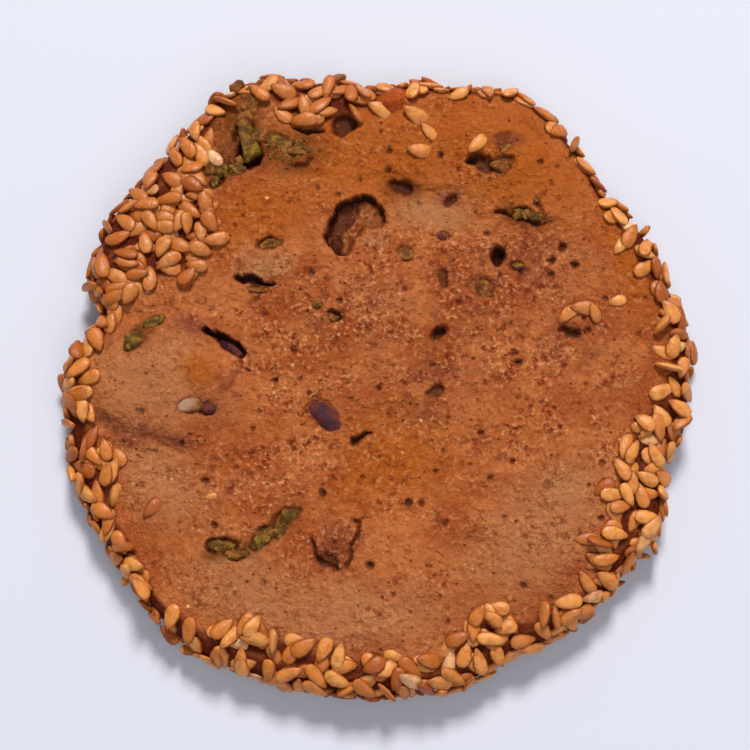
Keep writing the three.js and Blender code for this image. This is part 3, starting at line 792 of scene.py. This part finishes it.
def layDownSeeds(settings, bare):
    # seeds laid one after another, each on the skin or on those under it
    draw = np.random.default_rng(settings["seed"])
    points, normals, count = seededPool(draw, settings)
    total = count + len(straySeeds)
    centres, toUnit, axes, halves = [np.zeros((total, *shape)) for shape in ((3,), (3, 3), (3, 3), (3,))]
    for laid in range(total):
        half = bare * (1 + settings["spread"] * draw.uniform(-1, 1, 3))
        picks = draw.integers(0, len(points), settings["candidates"])
        places = [(points[pick], normals[pick], draw.uniform(0, 2 * math.pi)) for pick in picks]
        if laid < len(straySeeds):
            x, y, turned, size = straySeeds[laid]
            at = np.array([x]), np.array([y])
            top = topAt(*at)[0] + reliefAt(*at)[0] + settings["strayLift"]
            places = [(np.array([x, y, top]), np.array([0.0, 0.0, 1.0]), math.radians(turned + 90))]
            half = half * size
        tries = []
        for point, normal, turn in places:
            near = np.flatnonzero(np.sum((centres[:laid] - point) ** 2, axis=1) < (2.1 * half[1]) ** 2)
            tries.append(restingPlace(point, normal, turn, half, centres[near], toUnit[near], settings))
        _, centre, basis = min(tries, key=lambda found: found[0])  # the lowest
        tip = draw.normal(0, settings["unrest"], 2)
        if draw.uniform() < settings["onEdge"] and laid >= len(straySeeds):
            tip[0] += draw.choice([-1, 1]) * draw.uniform(1.0, 3.0)
            centre = centre + 0.3 * basis[:, 2]  # so that its lower half stays out of the dough
        basis = leaned(basis, tip)
        reachUp = np.linalg.norm(basis[2] * half)
        lowest = 1.1 * reachUp + 0.02  # over the floor
        centre[2] = min(max(centre[2], lowest), settings["highest"] - reachUp)
        centres[laid], axes[laid], halves[laid] = centre, basis, half
        toUnit[laid] = (basis / half).T
    return centres, axes, halves


def seedShape(name, bend, lean):
    # a flat teardrop of unit length, width and thickness along Y, with its tip at +Y
    sides, stations = 8, [0.03, 0.16, 0.40, 0.7, 0.92]  # few faces, as it is repeated
    points, edge = [(0, -0.5, 0)], [0.6]
    for station in stations:
        width = (station / 0.36) ** 0.42 * ((1 - station) / 0.64) ** 0.8 / 2
        depth = (station / 0.44) ** 0.4 * ((1 - station) / 0.56) ** 0.5 / 2
        shift = bend * math.sin(math.pi * station)
        for side in range(sides):
            turn = 2 * math.pi * side / sides
            across, up = math.cos(turn), math.sin(turn)
            x = math.copysign(abs(across) ** 0.85, across) * width
            z = math.copysign(abs(up) ** 0.6, up) * depth
            points.append((x * (1 + lean * math.copysign(0.5, x)) + shift, station - 0.5, z))
            # how far out to the side: where the rim line and the painted shade round the seed go
            edge.append(across**2)
    points.append((0, 0.5, 0))
    edge.append(1)
    faces = [(0, 1 + (side + 1) % sides, 1 + side) for side in range(sides)]
    for row in range(len(stations) - 1):
        for side in range(sides):
            a, b = 1 + row * sides + side, 1 + row * sides + (side + 1) % sides
            faces.append((a, b, b + sides, a + sides))
    last = 1 + (len(stations) - 1) * sides
    faces += [(last + side, last + (side + 1) % sides, len(points) - 1) for side in range(sides)]
    mesh = bpy.data.meshes.new(name)
    mesh.from_pydata(points, [], faces)
    mesh.shade_smooth()
    for label, values in (("toTip", [point[1] + 0.5 for point in points]), ("edge", edge)):
        mesh.attributes.new(label, "FLOAT", "POINT").data.foreach_set("value", values)
    return bpy.data.objects.new(name, mesh)


def seedTree(kinds):
    # puts one of the seed shapes on each point, turned and stretched as the point's attributes say
    tree = bpy.data.node_groups.new("Scatter seeds", "GeometryNodeTree")
    nodes, link = tree.nodes, tree.links.new
    inputs = {
        "Geometry": "Geometry", "Shapes": "Collection", "Length": "Float", "Width": "Float",
        "Thickness": "Float", "Random seed": "Int", "Material": "Material",
    }
    for label, kind in inputs.items():
        tree.interface.new_socket(label, in_out="INPUT", socket_type="NodeSocket" + kind)
    tree.interface.new_socket("Geometry", in_out="OUTPUT", socket_type="NodeSocketGeometry")
    given = nodes.new("NodeGroupInput")
    out = nodes.new("NodeGroupOutput")

    def pointVector(name):
        node = nodes.new("GeometryNodeInputNamedAttribute")
        node.data_type = "FLOAT_VECTOR"
        node.inputs["Name"].default_value = name
        return node.outputs["Attribute"]

    shapes = nodes.new("GeometryNodeCollectionInfo")
    shapes.inputs["Separate Children"].default_value = True
    shapes.inputs["Reset Children"].default_value = True
    link(given.outputs["Shapes"], shapes.inputs["Collection"])

    sizes = nodes.new("ShaderNodeCombineXYZ")
    for axis, label in (("X", "Width"), ("Y", "Length"), ("Z", "Thickness")):
        link(given.outputs[label], sizes.inputs[axis])
    scale = nodes.new("ShaderNodeVectorMath")
    scale.operation = "MULTIPLY"
    link(sizes.outputs["Vector"], scale.inputs[0])
    link(pointVector("stretch"), scale.inputs[1])
    turned = nodes.new("FunctionNodeEulerToRotation")
    link(pointVector("turn"), turned.inputs["Euler"])

    kind = nodes.new("FunctionNodeRandomValue")
    kind.data_type = "INT"
    kind.inputs["Min"].default_value = 0
    kind.inputs[5].default_value = kinds - 1  # the largest whole number
    link(given.outputs["Random seed"], kind.inputs["Seed"])

    tone = nodes.new("FunctionNodeRandomValue")
    tone.data_type = "FLOAT"
    link(given.outputs["Random seed"], tone.inputs["Seed"])
    toned = nodes.new("GeometryNodeStoreNamedAttribute")
    toned.data_type = "FLOAT"
    toned.domain = "INSTANCE"
    toned.inputs["Name"].default_value = "tone"
    link(tone.outputs[1], toned.inputs["Value"])

    place = nodes.new("GeometryNodeInstanceOnPoints")
    place.inputs["Pick Instance"].default_value = True
    link(given.outputs["Geometry"], place.inputs["Points"])
    link(shapes.outputs["Instances"], place.inputs["Instance"])
    link(kind.outputs[2], place.inputs["Instance Index"])
    link(turned.outputs["Rotation"], place.inputs["Rotation"])
    link(scale.outputs["Vector"], place.inputs["Scale"])
    link(place.outputs["Instances"], toned.inputs["Geometry"])

    real = nodes.new("GeometryNodeRealizeInstances")
    painted = nodes.new("GeometryNodeSetMaterial")
    link(toned.outputs["Geometry"], real.inputs["Geometry"])
    link(real.outputs["Geometry"], painted.inputs["Geometry"])
    link(given.outputs["Material"], painted.inputs["Material"])
    link(painted.outputs["Geometry"], out.inputs["Geometry"])
    return tree


def setInputs(modifier, values):
    items = modifier.node_group.interface.items_tree
    sockets = {item.name: item.identifier for item in items if item.in_out == "INPUT"}
    for label, value in values.items():
        modifier[sockets[label]] = value


def settledMesh(name, carrier):
    # the evaluated result as a plain mesh object, with the carrier taken away
    graph = bpy.context.evaluated_depsgraph_get()
    mesh = bpy.data.meshes.new_from_object(carrier.evaluated_get(graph), depsgraph=graph)
    mesh.name = name
    made = bpy.data.objects.new(name, mesh)
    scene.collection.objects.link(made)
    bpy.data.objects.remove(carrier)
    return made


def makeSeeds(settings, material):
    bare = np.array([settings["width"], settings["length"], settings["thickness"]]) / 2
    centres, axes, halves = layDownSeeds(settings, bare)
    carrier = meshObject("seed_points", centres, [])
    turns = [Matrix(basis.tolist()).to_euler() for basis in axes]
    for name, values in (("turn", np.array(turns)), ("stretch", halves / bare)):
        attribute = carrier.data.attributes.new(name, "FLOAT_VECTOR", "POINT")
        attribute.data.foreach_set("vector", values.astype(np.float32).ravel())
    for name in ("shadeOnSeeds", "paler"):
        away = np.min([inOval(centres[:, 0], centres[:, 1], oval) for oval in settings[name]], axis=0)
        addAttribute(carrier, name, 1 - smoothstep(away, 0.7, 1.1))
    shapes = bpy.data.collections.new("seed_shapes")
    for number, (bend, lean) in enumerate(settings["shapes"]):
        shapes.objects.link(seedShape(f"seed_shape_{number}", bend, lean))
    modifier = carrier.modifiers.new("Scatter seeds", "NODES")
    modifier.node_group = seedTree(len(settings["shapes"]))
    setInputs(modifier, {
        "Shapes": shapes,
        "Length": settings["length"] * millimetre,
        "Width": settings["width"] * millimetre,
        "Thickness": settings["thickness"] * millimetre,
        "Random seed": settings["seed"],
        "Material": material,
    })
    made = settledMesh("sesame_seeds", carrier)
    for shape in list(shapes.objects):
        bpy.data.objects.remove(shape)
    bpy.data.collections.remove(shapes)
    print("sesame seeds", len(centres), "laid")
    return made


def ballShape(finesse):
    # the corners of a unit ball, and its triangles
    mesh = bpy.data.meshes.new("ball")
    ball = bmesh.new()
    bmesh.ops.create_icosphere(ball, subdivisions=finesse, radius=1)
    ball.to_mesh(mesh)
    ball.free()
    points = np.array([vertex.co for vertex in mesh.vertices])
    faces = np.array([list(face.vertices) for face in mesh.polygons])
    bpy.data.meshes.remove(mesh)
    return points, faces


def crumbList(settings, draw):
    # small crumbs of pistachio, written as the nuts are
    found = []
    for atX, atY, long, wide, turned, count in settings["crumbs"]:
        turn = math.radians(turned)
        for _ in range(count):
            at, out = draw.uniform(0, 2 * math.pi), math.sqrt(draw.uniform())
            along, across = long * out * math.cos(at), wide * out * math.sin(at)
            x = atX + along * math.cos(turn) - across * math.sin(turn)
            y = atY + along * math.sin(turn) + across * math.cos(turn)
            size = draw.uniform(*settings["crumbLengths"])
            proud, browned = draw.uniform(-0.06, 0.14), draw.uniform(0.4, 1.0)
            width, pointing = size * draw.uniform(0.5, 0.9), 180 * draw.uniform()
            found.append((x, y, size, width, pointing, proud, 0, 0, browned))
    return found


def anywhere(draw):
    return draw.uniform(0, 50, 3)  # shifts the noise, so that no two pieces are alike


def choppedBall(ball, whole, settings, draw):
    # a ball with flat sides where the knife went, roughened; a piece with its whole skin stays rounder
    cut = ball.copy()
    uncut, flat = (0.2, 0.5) if whole else (0, 1.5)
    for _ in range(settings["cuts"]):
        plane = draw.normal(size=3)
        plane /= np.linalg.norm(plane)
        over = np.maximum(cut @ plane - draw.uniform(*settings["cutRange"]) - uncut, 0)
        cut -= over[:, None] * plane * 0.96
    for height, size, seed in settings["roughness"]:
        cut *= (1 + height * noiseAt(cut + anywhere(draw), size, seed))[:, None]
    cut[:, 2] = np.tanh(flat * cut[:, 2]) / math.tanh(flat)
    cut[:, 2] += cut[:, :2] @ draw.uniform(-settings["tilt"], settings["tilt"], 2)
    return cut


def makeNuts(settings):
    draw = np.random.default_rng(settings["seed"])
    points, faces, skins, browns = [], [], [], []
    pieces = [(4, *nut) for nut in nuts] + [(3, *crumb) for crumb in crumbList(settings, draw)]
    for finesse, atX, atY, long, wide, turned, proud, gap, skin, browned in pieces:
        ball, triangles = ballShape(finesse)
        cut = choppedBall(ball, skin == 1, settings, draw)
        size = settings["oversize"] / 2
        thick = min(wide, settings["widest"]) * settings["thickness"]
        cut *= np.array([long * size, wide * size, thick])
        turn = math.radians(turned)
        x = cut[:, 0] * math.cos(turn) - cut[:, 1] * math.sin(turn)
        y = cut[:, 0] * math.sin(turn) + cut[:, 1] * math.cos(turn)
        top = topAt(np.array([float(atX)]), np.array([float(atY)]))[0] + proud
        z = cut[:, 2] - cut[:, 2].max() + top
        faces.append(triangles + sum(len(p) for p in points))
        points.append(np.stack([x + atX, y + atY, z], axis=1))
        side = draw.normal(size=3)
        facing = ball @ (side / np.linalg.norm(side))
        facing = facing + 0.5 * noiseAt(ball * 3 + anywhere(draw), 1.0, 53)
        skins.append(smoothstep(facing, 0.95 - 2.1 * skin, 1.25 - 2.1 * skin))
        facing = noiseAt(ball * 2 + anywhere(draw), 1.0, 54)
        browns.append(smoothstep(facing, 0.55 - 1.2 * browned, 0.95 - 1.2 * browned))
    corners = np.concatenate(points)
    made = meshObject("pistachios", corners, np.concatenate(faces).tolist())
    addAttribute(made, "skin", np.concatenate(skins))
    addAttribute(made, "browned", np.concatenate(browns))
    addAttribute(made, "blanched", patchAt(corners[:, 0], corners[:, 1], "blanched"))
    return made


pistachios = makeNuts(nutSettings)
print("pistachios", len(pistachios.data.polygons), "faces")


class Shader:
    # a material's node tree with short calls for the nodes used here
    def __init__(self, name):
        self.material = bpy.data.materials.new(name)
        self.material.use_nodes = True
        self.tree = self.material.node_tree
        self.nodes = self.tree.nodes
        self.bsdf = self.nodes["Principled BSDF"]
        place = self.nodes.new("ShaderNodeTexCoord")
        self.scaled = self.nodes.new("ShaderNodeMapping")
        self.scaled.inputs["Scale"].default_value = (1000, 1000, 1000)  # textures count in millimetres
        self.link(place.outputs["Object"], self.scaled.inputs["Vector"])

    def link(self, source, target):
        self.tree.links.new(source, target)

    def give(self, value, socket):
        if isinstance(value, (int, float)):
            socket.default_value = value
        elif isinstance(value, tuple):
            socket.default_value = (*value, 1)
        else:
            self.link(value, socket)

    def noise(self, size, detail, roughness=0.55):
        node = self.nodes.new("ShaderNodeTexNoise")
        self.link(self.scaled.outputs["Vector"], node.inputs["Vector"])
        node.inputs["Scale"].default_value = 1 / size
        node.inputs["Detail"].default_value = detail
        node.inputs["Roughness"].default_value = roughness
        return node.outputs["Fac"]

    def cells(self, size):
        # the distance to the nearest of scattered points, and a random number for each
        node = self.nodes.new("ShaderNodeTexVoronoi")
        self.link(self.scaled.outputs["Vector"], node.inputs["Vector"])
        node.inputs["Scale"].default_value = 1 / size
        split = self.nodes.new("ShaderNodeSeparateColor")
        self.link(node.outputs["Color"], split.inputs["Color"])
        return node.outputs["Distance"], split.outputs["Red"], split.outputs["Green"]

    def attribute(self, name):
        node = self.nodes.new("ShaderNodeAttribute")
        node.attribute_name = name
        return node.outputs["Fac"]

    def range(self, value, low, high, toLow=0.0, toHigh=1.0):
        node = self.nodes.new("ShaderNodeMapRange")
        node.interpolation_type = "SMOOTHSTEP"
        sockets = ("Value", "From Min", "From Max", "To Min", "To Max")
        for socket, number in zip(sockets, (value, low, high, toLow, toHigh)):
            self.give(number, node.inputs[socket])
        return node.outputs["Result"]

    def math(self, operation, first, second=0.0):
        node = self.nodes.new("ShaderNodeMath")
        node.operation = operation
        self.give(first, node.inputs[0])
        self.give(second, node.inputs[1])
        return node.outputs["Value"]

    def times(self, first, *others):
        for other in others:
            first = self.math("MULTIPLY", first, other)
        return first

    def less(self, name, share):
        # 1, and lower by the share where the attribute is 1
        return self.math("SUBTRACT", 1.0, self.times(self.attribute(name), share))

    def mix(self, share, first, second):
        node = self.nodes.new("ShaderNodeMix")
        node.data_type = "RGBA"
        self.give(share, node.inputs["Factor"])
        self.give(first, node.inputs[6])
        self.give(second, node.inputs[7])
        return node.outputs[2]

    def bump(self, height, depth, under=None):
        node = self.nodes.new("ShaderNodeBump")
        node.inputs["Distance"].default_value = depth * millimetre
        self.link(height, node.inputs["Height"])
        if under is not None:
            self.link(under, node.inputs["Normal"])
        return node.outputs["Normal"]

    def finish(self, colour, roughness, normal, look):
        sockets = self.bsdf.inputs
        self.link(colour, sockets["Base Color"])
        self.link(roughness, sockets["Roughness"])
        self.link(normal, sockets["Normal"])
        sockets["Specular IOR Level"].default_value = look["gloss"]
        sockets["Subsurface Weight"].default_value = look["glow"]
        sockets["Subsurface Radius"].default_value = look["glowRadius"]
        sockets["Subsurface Scale"].default_value = look["glowDepth"] * millimetre
        return self.material


doughLook = {
    "brown": (0.318, 0.069, 0.013),
    "tan": (0.447, 0.129, 0.0345),
    "red": (0.17, 0.020, 0.002),
    "pale": (0.41, 0.153, 0.057),
    "golden": (0.36, 0.080, 0.0035),
    "valley": (0.385, 0.152, 0.055),
    "green": (0.125, 0.031, 0.001),
    # darker crust, and the colour of the painted shade
    "duskyAndShade": (0.17, 0.036, 0.017),
    "amber": (0.36, 0.054, 0.003),
    "flake": (0.20, 0.040, 0.016),
    "hollow": (0.25, 0.074, 0.016),
    # painted shade inside cracks, pits, gaps and pores
    "pore": (0.10, 0.009, 0.002),
    "deep": (0.028, 0.004, 0.001),
    # syrup-coated dough under the seeds, darkened further as painted shade between them
    "shadeUnderSeeds": (0.085, 0.008, 0.001),
    "fleck": (0.74, 0.31, 0.115),
    "glint": (0.82, 0.45, 0.20),
    "lumps": 0.5,  # depths of the bumps, in millimetres
    "grains": 0.28,
    "crumbs": 0.12,
    "gloss": 0.10,
    "glow": 0.08,  # share of the light that goes in under the surface
    "glowRadius": (1.0, 0.30, 0.12),  # how far red, green and blue go, of the depth
    "glowDepth": 0.6,
}


def doughMaterial(look):
    s = Shader("baked dough")
    colour = s.mix(s.range(s.noise(5.5, 3), 0.36, 0.64), look["brown"], look["tan"])
    # the pale tint also paints the highlight on the ridge under the fold
    tints = {"pale": 0.8, "golden": 0.85, "valley": 0.95, "amber": 0.95, "flake": 0.9}
    for name, strength in tints.items():
        colour = s.mix(s.times(s.attribute(name), strength), colour, look[name])
    # darker crust, and painted shade under the lobe's fold and beside the slot
    duskyAndShade = s.times(s.attribute("duskyAndShade"), s.range(s.noise(1.8, 4), 0.40, 0.66, 0.1, 0.7))
    colour = s.mix(duskyAndShade, colour, look["duskyAndShade"])
    green = s.times(s.attribute("green"), s.range(s.noise(1.4, 3), 0.32, 0.58, 0.5, 1.0))
    colour = s.mix(green, colour, look["green"])
    colour = s.mix(s.times(s.attribute("hollow"), 0.85), colour, look["hollow"])
    colour = s.mix(s.times(s.attribute("shaded"), 0.75), colour, look["duskyAndShade"])

    # light and dark grains, fewer in the smooth crust
    rough = s.math("ADD", s.times(s.attribute("sandy"), 0.4), 0.62)
    rough = s.times(rough, s.less("golden", 0.2), s.less("green", 0.7))
    rough = s.times(rough, s.range(s.noise(4.0, 3), 0.40, 0.62, 0.4, 1.15), s.less("smooth", 0.5))
    grain = s.noise(0.5, 4, 0.55)
    reddish = s.range(s.noise(0.9, 4, 0.6), 0.51, 0.66)
    colour = s.mix(s.times(reddish, rough), colour, look["red"])
    mottled = s.range(s.noise(0.42, 3, 0.6), 0.47, 0.62, 0, 0.42)
    colour = s.mix(s.times(mottled, rough), colour, look["red"])
    paler = s.range(grain, 0.51, 0.68)
    colour = s.mix(s.times(paler, rough, 0.5), colour, look["fleck"])
    away, chance, _ = s.cells(0.7)  # crumbs, some light and some dark
    ragged = s.math("ADD", away, s.range(s.noise(0.4, 4), 0.3, 0.7, -0.42, 0.42))
    crumb = s.range(ragged, 0.05, 0.6, 1, 0)
    light = s.times(crumb, s.range(chance, 0.70, 1.0))
    colour = s.mix(s.times(light, rough, 0.65), colour, look["fleck"])
    darker = s.times(crumb, s.range(chance, 0.20, 0.06))
    colour = s.mix(s.times(darker, rough, 0.9), colour, look["red"])
    away, chance, size = s.cells(0.8)  # fine pores
    wide = s.range(size, 0.0, 1.0, 0.06, 0.24)
    spot = s.range(s.math("DIVIDE", away, wide), 0.6, 1.2, 1, 0)
    pore = s.times(spot, s.math("GREATER_THAN", chance, 0.66))
    colour = s.mix(s.times(pore, 0.6), colour, look["pore"])
    away, chance, size = s.cells(1.7)  # fewer, larger dark spots
    ragged = s.math("ADD", away, s.range(s.noise(0.6, 4), 0.3, 0.7, -0.2, 0.2))
    wide = s.range(size, 0.0, 1.0, 0.16, 0.34)
    blot = s.range(s.math("DIVIDE", ragged, wide), 0.3, 1.3, 1, 0)
    blot = s.times(blot, s.math("GREATER_THAN", chance, 0.76))
    colour = s.mix(s.times(blot, rough, 0.8), colour, look["pore"])
    away, chance, _ = s.cells(1.0)  # rare bright grains with a painted glint
    glint = s.times(s.range(away, 0.1, 0.28, 1, 0), s.math("GREATER_THAN", chance, 0.99))
    colour = s.mix(s.times(glint, 0.7), colour, look["glint"])

    # syrup coat and painted shade under and between the seeds
    colour = s.mix(s.times(s.attribute("coatedAndShaded"), 0.95), colour, look["shadeUnderSeeds"])
    # painted shade on the steep walls of the openings, in the pore colour
    colour = s.mix(s.times(s.attribute("steep"), 0.7), colour, look["pore"])
    # painted shade inside the openings
    colour = s.mix(s.attribute("cavityShade"), colour, look["deep"])

    lumpy = s.bump(s.noise(1.2, 3, 0.55), look["lumps"])
    grainy = s.bump(grain, look["grains"], lumpy)
    raised = s.math("SUBTRACT", s.times(s.math("ADD", light, glint), rough), pore)
    normal = s.bump(raised, look["crumbs"], grainy)
    return s.finish(colour, s.range(grain, 0.3, 0.7, 0.75, 0.5), normal, look)


seedLook = {
    "light": (0.76, 0.310, 0.074),
    "mid": (0.60, 0.190, 0.030),
    "toasted": (0.36, 0.080, 0.008),
    "hulled": (0.74, 0.42, 0.20),
    # darker tip and rim line, and painted shade round each seed's outline
    "edge": (0.20, 0.030, 0.002),
    "grains": 0.10,
    "gloss": 0.34,
    "glow": 0.2,
    "glowRadius": (1.0, 0.42, 0.16),
    "glowDepth": 0.7,
}


def seedMaterial(look):
    s = Shader("toasted sesame")
    tone = s.attribute("tone")
    colour = s.mix(s.range(tone, 0.0, 0.3), look["toasted"], look["mid"])
    colour = s.mix(s.range(tone, 0.35, 0.9), colour, look["light"])
    colour = s.mix(s.range(tone, 0.955, 0.97), colour, look["hulled"])
    # painted shade on the seeds in the first ovals, and paler seeds, partly painted light, in the second
    colour = s.mix(s.times(s.attribute("shadeOnSeeds"), 0.45), colour, look["toasted"])
    colour = s.mix(s.times(s.attribute("paler"), 0.4), colour, look["light"])
    blotch = s.range(s.noise(0.9, 3), 0.42, 0.68, 0, 0.5)
    colour = s.mix(blotch, colour, look["toasted"])
    tip = s.times(s.range(s.attribute("toTip"), 0.66, 1.0), 0.6)
    # the seed's sides darker: a faint rim line, and painted shade where it meets its neighbours
    edge = s.times(s.range(s.attribute("edge"), 0.35, 1.0), 0.7)
    colour = s.mix(s.math("MAXIMUM", tip, edge), colour, look["edge"])
    roughness = s.range(s.noise(0.5, 2), 0.3, 0.7, 0.25, 0.45)
    return s.finish(colour, roughness, s.bump(s.noise(0.45, 4, 0.6), look["grains"]), look)


nutLook = {
    "kernel": (0.088, 0.038, 0.001),
    "pale": (0.30, 0.155, 0.012),
    "skin": (0.056, 0.013, 0.023),
    "skinPale": (0.125, 0.025, 0.020),
    "brown": (0.13, 0.030, 0.002),
    "tan": (0.34, 0.120, 0.020),
    "blanched": (0.42, 0.245, 0.155),
    "grains": 0.3,
    "gloss": 0.2,
    "glow": 0.08,
    "glowRadius": (0.6, 0.6, 0.15),
    "glowDepth": 0.5,
}


def nutMaterial(look):
    s = Shader("chopped pistachio")
    colour = s.mix(s.range(s.noise(0.7, 5, 0.65), 0.44, 0.66), look["kernel"], look["pale"])
    brown = s.mix(s.range(s.noise(0.8, 5, 0.65), 0.40, 0.64), look["brown"], look["tan"])
    colour = s.mix(s.attribute("browned"), colour, brown)
    colour = s.mix(s.attribute("blanched"), colour, look["blanched"])
    skin = s.mix(s.range(s.noise(1.6, 4), 0.42, 0.62), look["skin"], look["skinPale"])
    colour = s.mix(s.attribute("skin"), colour, skin)
    roughness = s.range(s.noise(0.5, 2), 0.3, 0.7, 0.4, 0.65)
    return s.finish(colour, roughness, s.bump(s.noise(0.5, 5, 0.65), look["grains"]), look)


cookieDough.data.materials.append(doughMaterial(doughLook))
pistachios.data.materials.append(nutMaterial(nutLook))
sesameSeeds = makeSeeds(seedSettings, seedMaterial(seedLook))


lightSettings = {
    # from, size, power, colour
    "key": ((0.08, 0.90, 0.96), 0.32, 18.5, (1.0, 0.97, 0.93)),
    "fill": ((0.36, -0.80, 1.10), 1.1, 6.0, (0.98, 0.98, 1.0)),
}
stageSettings = {
    "floorHalf": 1500,
    "floorColour": (0.63, 0.65, 0.74, 1),
    "floorRoughness": 0.7,
    "sky": (0.92, 0.95, 1.0, 1),
    "skyStrength": 0.3,
}


def addLights(settings):
    for name, (place, size, power, colour) in settings.items():
        data = bpy.data.lights.new(name, "AREA")
        data.size = size
        data.energy = power
        data.color = colour
        light = bpy.data.objects.new(name, data)
        light.location = place
        light.rotation_euler = (-Vector(place)).to_track_quat("-Z", "Y").to_euler()
        scene.collection.objects.link(light)


def addFloor(settings):
    half = settings["floorHalf"]
    corners = np.array([(-half, -half, 0), (half, -half, 0), (half, half, 0), (-half, half, 0)], float)
    made = meshObject("floor", corners, [(0, 1, 2, 3)])
    material = bpy.data.materials.new("pale floor")
    material.use_nodes = True
    bsdf = material.node_tree.nodes["Principled BSDF"]
    bsdf.inputs["Base Color"].default_value = settings["floorColour"]
    bsdf.inputs["Roughness"].default_value = settings["floorRoughness"]
    made.data.materials.append(material)


def addSky(settings):
    world = bpy.data.worlds.new("studio")
    world.use_nodes = True
    background = world.node_tree.nodes["Background"]
    background.inputs["Color"].default_value = settings["sky"]
    background.inputs["Strength"].default_value = settings["skyStrength"]
    scene.world = world


addLights(lightSettings)
addFloor(stageSettings)
addSky(stageSettings)
scene.view_settings.view_transform = "Standard"
print("stage ready")


for piece, slot in ((cookieDough, "dough"), (sesameSeeds, "sesame"), (pistachios, "pistachio")):
    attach(piece, "root")
    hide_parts("cookie")
